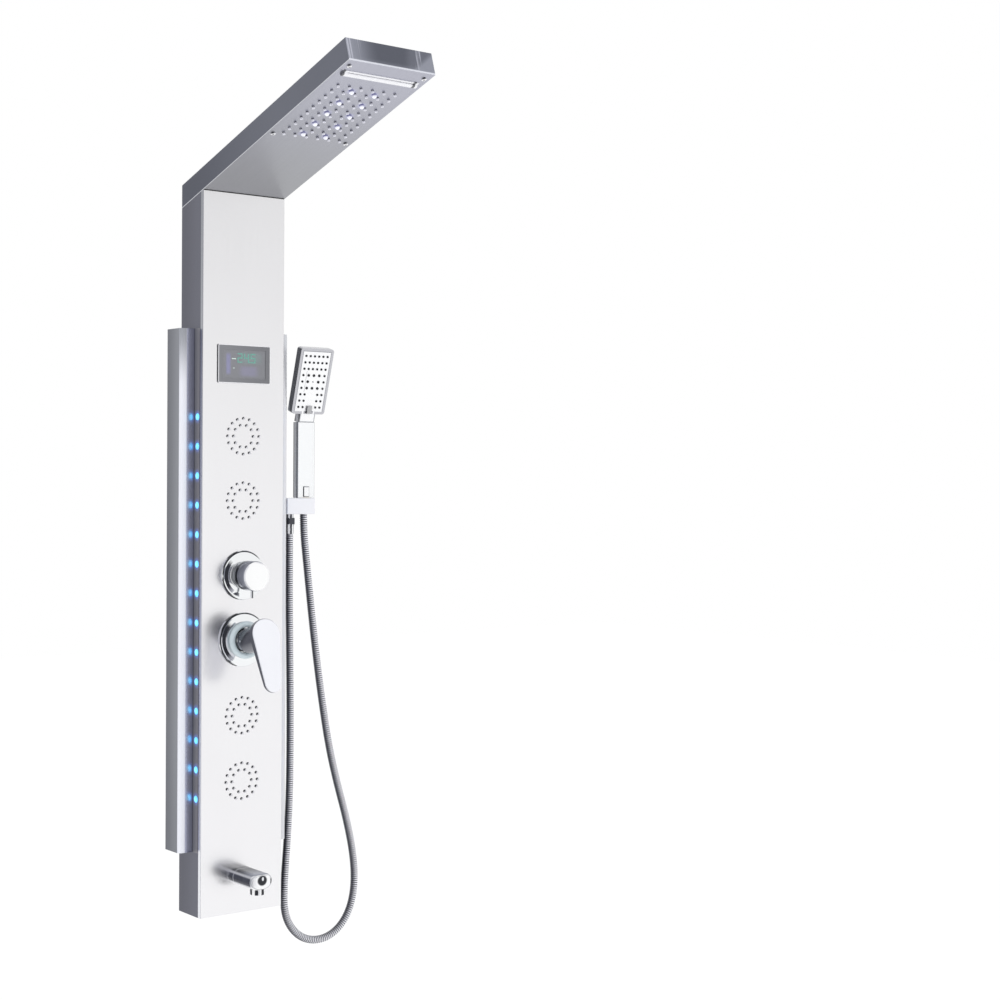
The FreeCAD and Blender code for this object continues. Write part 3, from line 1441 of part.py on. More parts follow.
save("diverter_valve", diverter_valve())
save("diverter_escutcheon", turned(wall_plate(diverter_bore + 1, diverter_plate_radius,
                                              diverter_plate_rise), diverter_height))
save("diverter_collar", turned(diverter_collar(), diverter_height))
save("diverter_stem", diverter_stem())
save("diverter_knob", diverter_knob())
save("diverter_pointer", diverter_pointer())

save("mixer_valve", mixer_valve())
save("mixer_escutcheon", mixer_escutcheon())
save("mixer_sleeve", turned(mixer_sleeve(), mixer_height))
save("mixer_ring", mixer_ring())
save("mixer_turret", mixer_turret())
save("mixer_lever", mixer_lever())
save("lever_pin", lever_pin())

save("turbine_housing", turbine_housing())
save("turbine_rotor", turbine_rotor())
save("water_pipes", riser(riser_x, rain_inlet_u), riser(-riser_x, fall_u), jet_feed_upper(),
     jet_feed_lower(), spout_feed(), handset_feed())

save("spout_flange", spout_root())
save("spout_body", spout_body())
save("spout_aerator", spout_aerator())

save("holder_block", holder_block())
save("outlet_nipple", outlet_nipple())
save("hose_nut", hose_nut())
save("hose_ferrule", hose_ferrule())
save("hose", hose())

save("handset_shell", handset_shell())
save("handset_face", handset_face())
save("handset_nozzle_mat", handset_mat())
save("handset_plug", handset_plug())
save("mode_tab", mode_tab())
save("pause_button", pause_button())
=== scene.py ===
"""Looks of a wall-hung shower panel column with a lit rain arm, valves and a hand shower.

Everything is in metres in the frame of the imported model: +X right, +Y into the wall, +Z up,
with the origin at the upper wall bracket. The front of the column faces -Y.
"""

from __future__ import annotations

import logging
import math
from dataclasses import dataclass
from enum import Enum
from functools import reduce
from typing import Sequence, Union

import bmesh
import bpy
from mathutils import Matrix, Vector

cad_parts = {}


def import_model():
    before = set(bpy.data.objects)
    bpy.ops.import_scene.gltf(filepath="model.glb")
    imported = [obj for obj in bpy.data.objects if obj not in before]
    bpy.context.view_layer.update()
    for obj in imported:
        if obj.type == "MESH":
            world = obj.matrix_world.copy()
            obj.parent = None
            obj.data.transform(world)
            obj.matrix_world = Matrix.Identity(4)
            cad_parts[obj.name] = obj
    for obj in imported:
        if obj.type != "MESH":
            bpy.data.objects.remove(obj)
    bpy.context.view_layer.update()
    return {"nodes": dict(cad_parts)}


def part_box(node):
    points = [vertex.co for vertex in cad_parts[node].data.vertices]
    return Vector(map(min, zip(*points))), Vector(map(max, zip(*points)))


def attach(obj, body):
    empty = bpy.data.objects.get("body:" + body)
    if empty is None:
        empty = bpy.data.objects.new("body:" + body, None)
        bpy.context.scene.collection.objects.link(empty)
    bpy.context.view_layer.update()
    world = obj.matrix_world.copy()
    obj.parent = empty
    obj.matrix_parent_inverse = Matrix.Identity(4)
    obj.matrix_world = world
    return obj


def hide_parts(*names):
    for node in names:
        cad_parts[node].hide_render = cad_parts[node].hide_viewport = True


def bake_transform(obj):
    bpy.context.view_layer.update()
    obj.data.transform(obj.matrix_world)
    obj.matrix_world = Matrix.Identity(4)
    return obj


log = logging.getLogger("shower_panel")

HANG_HEIGHT = 1.010  # upper bracket above the column's lower end

Colour = tuple[float, float, float]
Place = tuple[float, float, float]
Span = tuple[float, float]

BLACK: Colour = (0.0, 0.0, 0.0)
WHITE: Colour = (1.0, 1.0, 1.0)


def level(height: float) -> float:
    """Return the Z of a height above the column's lower end, both in metres."""
    return height - HANG_HEIGHT


PANEL_FRONT = -0.070  # Y of the front panel
PANEL_TOP = 0.150  # Z of its upper edge, where the arm's underside starts
ARM_SLOPE = math.radians(17.5)
ARM_COS, ARM_SIN = math.cos(ARM_SLOPE), math.sin(ARM_SLOPE)
LAMP_FIRST = -0.821  # Z of the lowest lamp beside the wings
LAMP_PITCH = 0.047
LAMP_COUNT = 14
LAMP_Y = -0.0545
DIVERTER_Z = -0.464
MIXER_Z = -0.568
DISPLAY_Z = level(0.886)
HAND_X = 0.139  # middle of the hand shower
HAND_FRONT = -0.0385  # Y of the handle's front face
HAND_NECK = level(0.797)  # Z of the handle's upper end
HAND_TILT = math.radians(16.4)  # lean of the hand shower's head


# ---------- shader maths


class Wire:
    """An output socket that takes part in Python arithmetic."""

    def __init__(self, graph: Graph, socket: bpy.types.NodeSocket) -> None:
        """Keep the tree and the socket.

        Args:
            graph: The material's tree.
            socket: The output socket that carries the value.
        """
        self.graph = graph
        self.socket = socket

    def __add__(self, other: Scalar) -> Wire:
        """Return the sum."""
        return self.graph.math("ADD", self, other)

    def __radd__(self, other: Scalar) -> Wire:
        """Return the sum."""
        return self.graph.math("ADD", other, self)

    def __sub__(self, other: Scalar) -> Wire:
        """Return the difference."""
        return self.graph.math("SUBTRACT", self, other)

    def __rsub__(self, other: Scalar) -> Wire:
        """Return the reflected difference."""
        return self.graph.math("SUBTRACT", other, self)

    def __mul__(self, other: Scalar) -> Wire:
        """Return the product."""
        return self.graph.math("MULTIPLY", self, other)

    def __rmul__(self, other: Scalar) -> Wire:
        """Return the product."""
        return self.graph.math("MULTIPLY", other, self)

    def __truediv__(self, other: Scalar) -> Wire:
        """Return the quotient."""
        return self.graph.math("DIVIDE", self, other)

    def __rtruediv__(self, other: Scalar) -> Wire:
        """Return the reflected quotient."""
        return self.graph.math("DIVIDE", other, self)

    def __abs__(self) -> Wire:
        """Return the size without its sign."""
        return self.graph.math("ABSOLUTE", self, 0.0)

    def __mod__(self, other: Scalar) -> Wire:
        """Return the remainder, always positive."""
        return self.graph.math("FLOORED_MODULO", self, other)

    def ease(self, low: float, high: float) -> Wire:
        """Rise smoothly from 0 to 1.

        Args:
            low: Value that gives 0.
            high: Value that gives 1. It may be below low.

        Returns:
            The eased value.
        """
        flip = low > high
        return self.graph.wire(
            "ShaderNodeMapRange",
            {"interpolation_type": "SMOOTHSTEP"},
            {0: self, 1: min(low, high), 2: max(low, high), 3: float(flip), 4: float(not flip)},
        )

    def nearest(self, first: float, pitch: float) -> Wire:
        """Measure to the nearest of evenly spaced places.

        Args:
            first: One of the places.
            pitch: Distance from each to the next.

        Returns:
            The distance, never negative.
        """
        return abs((self - first + pitch / 2) % pitch - pitch / 2)


Scalar = Union[Wire, float]
Tint = Union[Wire, Colour]


def to_arm(y: Wire, z: Wire) -> tuple[Wire, Wire]:
    """Turn Y and Z into the way along the arm and the way square to it."""
    return y * -ARM_COS + z * ARM_SIN, y * ARM_SIN + z * ARM_COS


class Graph:
    """The node tree of one material or of the world."""

    def __init__(self, name: str, store: bpy.types.bpy_prop_collection | None = None) -> None:
        """Start an empty tree.

        Args:
            name: Name of the material or world.
            store: Collection that keeps it, or None for the materials.
        """
        self.owner = (bpy.data.materials if store is None else store).new(name)
        self.owner.use_nodes = True
        self.tree = self.owner.node_tree
        self.tree.nodes.clear()

    def node(
        self,
        kind: str,
        settings: dict[str, object] | None = None,
        inputs: dict[int | str, object] | None = None,
    ) -> bpy.types.Node:
        """Add a node.

        Args:
            kind: The node's type.
            settings: Properties, set first.
            inputs: Values or wires for its input sockets.

        Returns:
            The node.
        """
        made = self.tree.nodes.new(kind)
        for key, value in (settings or {}).items():
            setattr(made, key, value)
        for key, value in (inputs or {}).items():
            if isinstance(value, Wire):
                self.tree.links.new(value.socket, made.inputs[key])
            else:
                made.inputs[key].default_value = value
        return made

    def wire(
        self,
        kind: str,
        settings: dict[str, object] | None = None,
        inputs: dict[int | str, object] | None = None,
        output: int | str = 0,
    ) -> Wire:
        """Add a node and take one of its outputs.

        Args:
            kind: The node's type.
            settings: Properties, set first.
            inputs: Values or wires for its input sockets.
            output: The output socket.

        Returns:
            The output.
        """
        return Wire(self, self.node(kind, settings, inputs).outputs[output])

    def math(self, operation: str, first: Scalar, second: Scalar) -> Wire:
        """Return one operation on two values."""
        return self.wire("ShaderNodeMath", {"operation": operation}, {0: first, 1: second})

    def most(self, *values: Wire) -> Wire:
        """Return the highest of some values."""
        return reduce(lambda a, b: self.math("MAXIMUM", a, b), values)

    def far(self, across: Wire, along: Wire) -> Wire:
        """Return the length of a way across and along."""
        return self.math("SQRT", across * across + along * along, 0.0)

    def split(self, output: str) -> tuple[Wire, Wire, Wire]:
        """Return X, Y and Z of a texture coordinate."""
        parts = self.node("ShaderNodeSeparateXYZ", {}, {0: self.wire("ShaderNodeTexCoord", output=output)})
        return tuple(Wire(self, parts.outputs[i]) for i in range(3))

    def spot(self) -> tuple[Wire, Wire, Wire]:
        """Return X, Y and Z of the point in the piece's own frame, in metres."""
        return self.split("Object")

    def facing(self) -> tuple[Wire, Wire, Wire]:
        """Return X, Y and Z of the surface's direction in the piece's own frame."""
        return self.split("Normal")

    def lean_left(self) -> Wire:
        """Return 1 on what leans to the left of the front, where a dark reflection of the room is painted
        on polished metal.
        """
        return abs(self.facing()[0] + 0.47).ease(0.28, 0.21)

    def grain(self, per_metre: Colour | float, detail: float = 2.0) -> Wire:
        """Noise with its own scale along each axis.

        Args:
            per_metre: Noise cells per metre along X, Y and Z, or one number for all.
            detail: Octaves.

        Returns:
            A value about 0.5.
        """
        cells = per_metre if isinstance(per_metre, tuple) else (per_metre,) * 3
        scaled = self.scaled(self.wire("ShaderNodeTexCoord", output="Object"), cells)
        return self.wire("ShaderNodeTexNoise", {}, {"Vector": scaled, "Scale": 1.0, "Detail": detail})

    def scaled(self, vector: Wire, by: Colour) -> Wire:
        """Return a vector or colour times another."""
        return self.wire("ShaderNodeVectorMath", {"operation": "MULTIPLY"}, {0: vector, 1: by})

    def blend(self, mask: Scalar, low: Tint, high: Tint, mode: str = "MIX") -> Wire:
        """Mix two colours.

        Args:
            mask: 0 gives low and 1 gives high.
            low: First colour.
            high: Second colour.
            mode: How the second colour goes over the first.

        Returns:
            The mixed colour.
        """
        first, second = (c if isinstance(c, Wire) else (*c, 1.0) for c in (low, high))
        settings = {"data_type": "RGBA", "blend_type": mode, "clamp_factor": True}
        return self.wire("ShaderNodeMix", settings, {0: mask, 6: first, 7: second}, 2)

    def bump(self, height: Wire, strength: float, depth: float) -> Wire:
        """Return a surface direction that follows a height.

        Args:
            height: The height field.
            strength: Share of the effect.
            depth: Height of one unit, in metres.

        Returns:
            The direction.
        """
        return self.wire("ShaderNodeBump", {}, {"Height": height, "Strength": strength, "Distance": depth})

    def surface(self, values: dict[str, object]) -> bpy.types.Material:
        """Close the tree with one principled surface.

        Args:
            values: Input socket names with numbers, colours or wires.

        Returns:
            The finished material.
        """
        ready = {k: (*v, 1.0) if isinstance(v, tuple) else v for k, v in values.items()}
        self.node("ShaderNodeOutputMaterial", {}, {0: self.wire("ShaderNodeBsdfPrincipled", {}, ready)})
        return self.owner


# ---------- finishes


@dataclass(frozen=True)
class Finish:
    """What every finish has.

    Attributes:
        name: Name of the material.
    """

    name: str

    def build(self) -> bpy.types.Material:
        """Build the material, each finish in its own way."""
        raise NotImplementedError(self.name)


@dataclass(frozen=True)
class SatinSteel(Finish):
    """Sheet steel with a fine upright grain, and light and shade painted into its tone for each way that it
    faces.

    Attributes:
        front: Tone of what faces the room.
        side: Tone of what faces sideways, painted shade.
        under: Tone of what faces down or up, painted for how the light falls there.
        roughness: Mean roughness.
        grain: Cells per metre along X, Y and Z.
        top_fade: How much painted shade darkens the upper part of a tall sheet.
        depth_fade: How much painted shade darkens a side towards the wall.
        streak: Depth of the grain's light and dark lines.
        side_low: Tone of the sides at the foot of a tall sheet, where it differs, painted light that grows
            towards the foot.
    """

    front: Colour
    side: Colour
    under: Colour
    roughness: float = 0.30
    grain: Colour = (700.0, 700.0, 9.0)
    top_fade: float = 0.0
    depth_fade: float = 0.0
    streak: float = 0.10
    side_low: Colour | None = None

    def build(self) -> bpy.types.Material:
        """Build the material.

        Returns:
            The finished material.
        """
        g = Graph(self.name)
        x, _, z = g.facing()
        _, py, pz = g.spot()
        lined = g.grain(self.grain, 3.0)
        cloud = g.grain((5.0, 5.0, 3.0), 2.0)
        # painted light and shade: sides and what faces down or up take their own tones, and the sides
        # lighten towards the foot
        side = g.blend(pz.ease(0.12, -0.75), self.side, self.side_low or self.side)
        colour = g.blend(abs(x).ease(0.35, 0.75), self.front, side)
        colour = g.blend(abs(z).ease(0.45, 0.8), colour, self.under)
        lift = (lined - 0.5) * self.streak + (cloud - 0.5) * 0.03
        # painted shade towards the top of a tall sheet and towards the wall
        if self.top_fade:
            lift = lift - pz.ease(-0.40, 0.15) * self.top_fade
        if self.depth_fade:
            lift = lift - py.ease(-0.060, -0.005) * self.depth_fade
        shade = g.scaled(g.blend(lift + 0.5, BLACK, WHITE), (2.0, 2.0, 2.0))
        return g.surface({
            "Base Color": g.blend(1.0, colour, shade, "MULTIPLY"),
            "Metallic": 1.0,
            "Roughness": self.roughness + (lined - 0.5) * self.streak,
            "Normal": g.bump(lined, self.streak, 0.00003),
        })


@dataclass(frozen=True)
class Polished(Finish):
    """Bright plating or bare cast metal, with a trace of ripple, dulled patches and, where shade is set, a
    painted dark reflection on what leans to the left.

    Attributes:
        tint: Its tone.
        roughness: Mean roughness.
        ripple: Depth of the ripple, in metres.
        shade: Depth of the painted dark reflection on what leans to the left.
    """

    tint: Colour
    roughness: float = 0.06
    ripple: float = 0.00004
    shade: float = 0.0

    def build(self) -> bpy.types.Material:
        """Build the material.

        Returns:
            The finished material.
        """
        g = Graph(self.name)
        wave = g.grain(60.0, 1.0)
        film = g.grain(24.0, 3.0)
        darker = tuple(c * 0.955 for c in self.tint)
        colour = g.blend(film.ease(0.35, 0.65), darker, self.tint)
        # painted dark reflection where the surface leans to the left
        if self.shade:
            colour = g.blend(g.lean_left() * self.shade, colour, (0.035, 0.038, 0.046))
        return g.surface({
            "Base Color": colour,
            "Metallic": 1.0,
            "Roughness": self.roughness + film * 0.03,
            "Normal": g.bump(wave, 0.10, self.ripple),
        })


@dataclass(frozen=True)
class Moulded(Finish):
    """Moulded plastic or rubber with a fine spark texture.

    Attributes:
        tint: Its tone.
        roughness: Mean roughness.
        texture: Depth of the texture, in metres.
        coat: Weight of the clear coat over it.
    """

    tint: Colour
    roughness: float = 0.45
    texture: float = 0.00003
    coat: float = 0.0

    def build(self) -> bpy.types.Material:
        """Build the material.

        Returns:
            The finished material.
        """
        g = Graph(self.name)
        spark = g.grain(2500.0, 2.0)
        cloud = g.grain(30.0, 2.0)
        darker = tuple(c * 0.86 for c in self.tint)
        return g.surface({
            "Base Color": g.blend(cloud.ease(0.3, 0.7), darker, self.tint),
            "Roughness": self.roughness + (spark - 0.5) * 0.12,
            "Coat Weight": self.coat,
            "Normal": g.bump(spark, 0.3, self.texture),
        })


@dataclass(frozen=True)
class WingSteel(Finish):
    """Polished wing with painted light and shade: a grey side that darkens towards the wall and its foot,
    and a front with a painted bright band that darkens to its top.

    Attributes:
        top: Z of the wing's upper end.
        bottom: Z of the wing's lower end.
        front: Y of the wing's front face.
        back: Y of the wing's back edge.
        side: Tone of the outer side at its front edge.
        side_back: Tone of the outer side at the wall, painted shade.
        bright: Tone of the front face and its rounded corner, a painted highlight.
        dim: Tone of the front face at its upper end, painted shade.
        inner: Tint of the polished half beside the lamps, which mirrors the strip for real, with a painted
            blue-violet cast of the lamps' light.
        inner_edge: Distance from the middle at which that half ends.
        glow: How much painted light the bright part sends out by itself.
    """

    top: float = -0.069
    bottom: float = -0.907
    front: float = -0.044
    back: float = 0.0
    side: Colour = (0.270, 0.280, 0.310)
    side_back: Colour = (0.165, 0.172, 0.195)
    bright: Colour = (0.86, 0.87, 0.93)
    dim: Colour = (0.34, 0.35, 0.38)
    inner: Colour = (0.62, 0.64, 0.78)
    glow: float = 0.11
    inner_edge: float = 0.0890

    def build(self) -> bpy.types.Material:
        """Build the material.

        Returns:
            The finished material.
        """
        g = Graph(self.name)
        nx, _, nz = g.facing()
        x, y, z = g.spot()
        lined = g.grain((800.0, 800.0, 6.0), 3.0)
        band = g.grain((60.0, 60.0, 2.5), 2.0)
        outer = abs(x).ease(self.inner_edge - 0.0012, self.inner_edge + 0.0014) * abs(nx).ease(0.995, 0.93)
        # painted highlight and shade on the front: the outer band is bright and darkens to the top; the
        # half beside the lamps mirrors for real under a painted blue-violet tint
        front = g.blend(z.ease(self.top - 0.10, self.top), self.bright, self.dim)
        front = g.blend(outer, self.inner, front)
        # painted shade: the side darkens towards the wall and the foot, and what faces down or up takes the
        # wall-side tone
        side = g.blend((y - self.front).ease(0.0, self.back - self.front), self.side, self.side_back)
        side = g.blend(z.ease(self.bottom + 0.25, self.bottom) * 0.25, side, (0.10, 0.105, 0.12))
        colour = g.blend(abs(nx).ease(0.93, 0.995), front, side)
        colour = g.blend(abs(nz).ease(0.5, 0.8), colour, self.side_back)
        colour = g.blend((lined - 0.5) * 0.10 + (band - 0.5) * 0.10 + 0.03, colour, (0.04, 0.04, 0.05))
        return g.surface({
            "Base Color": colour,
            # the painted bright band is mostly matt and glows by itself, painted light
            "Metallic": 1.0 - outer * 0.92,
            "Emission Color": g.blend(outer, BLACK, colour),
            "Emission Strength": self.glow,
            "Roughness": 0.26 + (lined - 0.5) * 0.04 + abs(nx).ease(0.3, 0.9) * 0.06,
            "Normal": g.bump(lined, 0.05, 0.00002),
        })


@dataclass(frozen=True)
class StripCover(Finish):
    """Dark cover strip with painted shade towards the wing and a painted blue glow round each lamp.

    Attributes:
        front: Tone next to the panel.
        back: Tone next to the wing, painted shade.
        painted_glow: Colour of the painted glow round a lamp.
        reach: Distance from a lamp's middle at which that painted glow ends.
        end: Distance past the last lamps at which it is cut off.
    """

    front: Colour = (0.225, 0.218, 0.235)
    back: Colour = (0.165, 0.165, 0.180)
    painted_glow: Colour = (0.015, 0.060, 0.30)
    reach: float = 0.0130
    end: float = 0.020

    def build(self) -> bpy.types.Material:
        """Build the material.

        Returns:
            The finished material.
        """
        g = Graph(self.name)
        _, y, z = g.spot()
        lined = g.grain((900.0, 900.0, 10.0), 3.0)
        # painted shade towards the wing, then a dark line where the strip meets it
        colour = g.blend(y.ease(-0.060, -0.046), self.front, self.back)
        colour = g.blend(y.ease(-0.0458, -0.0446), colour, (0.02, 0.02, 0.025))
        colour = g.blend(lined * 0.18, colour, (0.08, 0.08, 0.09))
        # painted glow round each lamp, cut off past the end lamps
        top = LAMP_FIRST + LAMP_PITCH * (LAMP_COUNT - 1)
        far = g.far(z.nearest(LAMP_FIRST, LAMP_PITCH), abs(y - LAMP_Y))
        full = self.end - 0.004
        held = z.ease(LAMP_FIRST - self.end, LAMP_FIRST - full) * z.ease(top + self.end, top + full)
        painted_glow = far.ease(self.reach, 0.0045) * held
        return g.surface({
            "Base Color": colour,
            "Roughness": 0.34 + (lined - 0.5) * 0.1,
            "Emission Color": g.blend(painted_glow, BLACK, self.painted_glow),
            "Emission Strength": 1.0,
            "Normal": g.bump(lined, 0.08, 0.00003),
        })


@dataclass(frozen=True)
class LampLens(Finish):
    """Frosted lens over a light, brightest at its middle, with pale flecks.

    Attributes:
        rim: Colour at the lens's edge.
        heart: Colour at its middle.
        strength: Strength of its light.
        reach: Distance from its middle at which the edge's colour is full.
        fleck: Colour of the flecks.
    """

    rim: Colour
    heart: Colour
    strength: float
    reach: float
    fleck: Colour = (0.80, 0.96, 1.0)

    def build(self) -> bpy.types.Material:
        """Build the material.

        Returns:
            The finished material.
        """
        g = Graph(self.name)
        _, y, z = g.spot()
        frost = g.grain(900.0, 2.0)
        far = g.far(z.nearest(LAMP_FIRST, LAMP_PITCH), abs(y - LAMP_Y))
        light = g.blend(far.ease(self.reach, self.reach * 0.15), self.rim, self.heart)
        uneven = g.grain((3.0, 3.0, 34.0), 1.0).ease(0.45, 0.62)
        light = g.blend((frost - 0.35) * 0.4 + uneven * 0.35, light, self.rim)
        light = g.blend(frost.ease(0.58, 0.70) * 0.7, light, self.fleck)
        return g.surface({
            "Base Color": g.blend(frost, self.rim, self.heart),
            "Roughness": 0.22 + frost * 0.1,
            "Emission Color": light,
            "Emission Strength": self.strength,
            "Normal": g.bump(frost, 0.15, 0.00004),
        })


@dataclass(frozen=True)
class ArmSteel(Finish):
    """Arm and spray plate: painted light and shade that follow the arm's own directions, painted reflection
    streaks and highlights at its end, and a painted glow round its lamps.

    Attributes:
        length: Length of the underside.
        side: Tone of the sides near the tip.
        side_root: Tone of the sides at the column, painted shade.
        under: Tone of the underside at the column, painted shade.
        under_tip: Tone of the underside at the tip.
        upper: Tone of the upper side.
        end: Tone of the end face, painted shade.
        end_side: Tone of the end face's lighter part, a painted reflection.
        rim: Tone of the painted highlight along the end's lower edge.
        first_lamp: Distance of the first row of lamps along the arm.
        lamp_pitch: Distance between the rows.
        lamp_rows: Distance from the first row at which the painted glow past the last one ends.
        lamp_x: Distance of each row's lamps from the middle.
    """

    length: float = 0.435
    side: Colour = (0.138, 0.146, 0.178)
    side_root: Colour = (0.080, 0.086, 0.112)
    under: Colour = (0.350, 0.355, 0.375)
    under_tip: Colour = (0.465, 0.470, 0.540)
    upper: Colour = (0.62, 0.63, 0.65)
    end: Colour = (0.100, 0.106, 0.130)
    end_side: Colour = (0.300, 0.310, 0.360)
    rim: Colour = (0.80, 0.81, 0.87)
    first_lamp: float = 0.2172
    lamp_pitch: float = 0.0343
    lamp_rows: float = 0.147
    lamp_x: float = 0.020

    def build(self) -> bpy.types.Material:
        """Build the material.

        Returns:
            The finished material.
        """
        g = Graph(self.name)
        nx, ny, nz = g.facing()
        x, y, z = g.spot()
        along, up = to_arm(y - PANEL_FRONT, z - PANEL_TOP)
        outward, square = to_arm(ny, nz)
        lined = g.grain((900.0, 14.0, 14.0), 3.0)
        cloud = g.grain((7.0, 4.0, 4.0), 2.0)
        # painted light and shade by direction: the underside lightens towards the tip, the upper side is
        # lighter, the sides darken towards the column
        colour = g.blend(along.ease(0.02, self.length), self.under, self.under_tip)
        colour = g.blend(square.ease(0.5, 0.8), colour, self.upper)
        side = g.blend(along.ease(-0.060, 0.250), self.side_root, self.side)
        colour = g.blend(abs(nx).ease(0.5, 0.8), colour, side)
        # painted reflections on the end face: light streaks near both ends, a lighter patch and a lighter
        # lower part
        streak = g.grain((260.0, 2.0, 2.0), 2.0).ease(0.48, 0.62)
        lean = x - (up - 0.014) * 0.20
        near_ends = lean.ease(-0.050, -0.066) + lean.ease(0.040, 0.045) * lean.ease(0.054, 0.049)
        reflection_patch = (x - up * 1.2).ease(0.028, 0.046)
        lit = x.ease(-0.020, -0.075) + reflection_patch * 0.9 + lean.ease(0.020, 0.038) * 0.25
        shine = g.blend(lit, self.end, self.end_side)
        shine = g.blend(streak * near_ends * 0.9, shine, (0.56, 0.57, 0.64))
        shine = g.blend(up.ease(0.010, 0.0) * 0.35, shine, self.end_side)
        colour = g.blend(outward.ease(0.5, 0.8), colour, shine)
        # painted highlights along the end's lower edge and along the sides' lower edge
        rim = up.ease(0.0034, 0.0020) * outward.ease(0.3, 0.6)
        colour = g.blend(rim, colour, self.rim)
        seam_highlight = up.ease(0.0015, 0.0009) * abs(nx).ease(0.5, 0.8)
        colour = g.blend(seam_highlight * 0.8, colour, (0.75, 0.76, 0.80))
        colour = g.blend((lined - 0.5) * 0.14 + (cloud - 0.5) * 0.12 + 0.04, colour, (0.06, 0.06, 0.07))
        # painted blue glow round the lamps on the plate
        far = g.far(along.nearest(self.first_lamp, self.lamp_pitch), abs(abs(x) - self.lamp_x))
        held = along.ease(self.first_lamp - 0.014, self.first_lamp - 0.010)
        last = self.first_lamp + self.lamp_rows
        held = held * along.ease(last + 0.004, last) * square.ease(-0.8, -0.9)
        glow = g.blend(far.ease(0.011, 0.002) * held, BLACK, (0.05, 0.05, 0.15))
        return g.surface({
            "Base Color": colour,
            # the end face and its painted highlight are mostly matt, so their painted tones hold
            "Metallic": 1.0 - g.most(outward.ease(0.5, 0.8), rim) * 0.9,
            "Roughness": 0.30 + (lined - 0.5) * 0.06,
            "Emission Color": glow,
            "Emission Strength": 1.0,
            "Normal": g.bump(lined, 0.06, 0.00003),
        })


@dataclass(frozen=True)
class BarSteel(Finish):
    """Bright waterfall bar with painted shade on one end and a small painted dark reflection near the
    other.

    Attributes:
        tint: Its tone.
        half: Half its length.
        mark: X of the small painted dark reflection.
    """

    tint: Colour = (0.93, 0.93, 0.96)
    half: float = 0.065
    mark: float = 0.0585

    def build(self) -> bpy.types.Material:
        """Build the material.

        Returns:
            The finished material.
        """
        g = Graph(self.name)
        x = g.spot()[0]
        grain = g.grain((200.0, 900.0, 900.0), 2.0)
        # painted shade at the left end and a small painted dark reflection near the right end
        dark = x.ease(-self.half + 0.0035, -self.half + 0.0020)
        dark = g.most(dark, abs(x - self.mark).ease(0.0030, 0.0018))
        tone = g.blend(dark * 0.9, self.tint, (0.06, 0.06, 0.07))
        return g.surface({
            "Base Color": g.blend(grain.ease(0.55, 0.75) * 0.25, tone, (0.62, 0.63, 0.67)),
            "Metallic": 0.35,
            "Roughness": 0.22 + grain * 0.06,
            "Normal": g.bump(grain, 0.1, 0.00004),
        })


@dataclass(frozen=True)
class SprayTip(Finish):
    """Soft nozzle or lamp dome under the arm: shaded at its foot and light at its tip.

    Attributes:
        foot: Tone next to the plate.
        tip: Tone of the tip.
        low: Distance under the plate where the light part starts, in metres.
        high: Distance under the plate where it is full.
        glow: Strength of its own light.
        frosting: Depth of its uneven frosting.
    """

    foot: Colour
    tip: Colour
    low: float = 0.0008
    high: float = 0.0020
    glow: float = 0.0
    frosting: float = 0.5

    def build(self) -> bpy.types.Material:
        """Build the material.

        Returns:
            The finished material.
        """
        g = Graph(self.name)
        _, y, z = g.spot()
        down = (y - PANEL_FRONT) * -ARM_SIN - (z - PANEL_TOP) * ARM_COS
        frost = g.grain(700.0, 2.0)
        tone = g.blend(down.ease(self.low, self.high), self.foot, self.tip)
        tone = g.blend((frost - 0.5) * self.frosting, tone, self.foot)
        return g.surface({
            "Base Color": tone,
            "Roughness": 0.25 + frost * 0.1,
            "Emission Color": tone,
            "Emission Strength": self.glow,
            "Normal": g.bump(frost, 0.15, 0.00005),
        })


@dataclass(frozen=True)
class RoundTip(Finish):
    """Small bright dome with a dark flank and a light one, as it stands in the room's light.

    Attributes:
        dark: Tone of the shaded flank.
        light: Tone of the lit flank.
        way: Direction of the lit flank.
        start: Share of that direction at which the shade ends.
        full: Share at which the light is full.
        metallic: Share of metal.
    """

    dark: Colour
    light: Colour
    way: Colour
    start: float = -0.30
    full: float = 0.45
    metallic: float = 0.0

    def build(self) -> bpy.types.Material:
        """Build the material.

        Returns:
            The finished material.
        """
        g = Graph(self.name)
        nx, ny, nz = g.facing()
        fine = g.grain(900.0, 2.0)
        lit = nx * self.way[0] + ny * self.way[1] + nz * self.way[2] + (fine - 0.5) * 0.1
        return g.surface({
            "Base Color": g.blend(lit.ease(self.start, self.full), self.dark, self.light),
            "Metallic": self.metallic,
            "Roughness": 0.22 + fine * 0.1,
            "Normal": g.bump(fine, 0.1, 0.00003),
        })


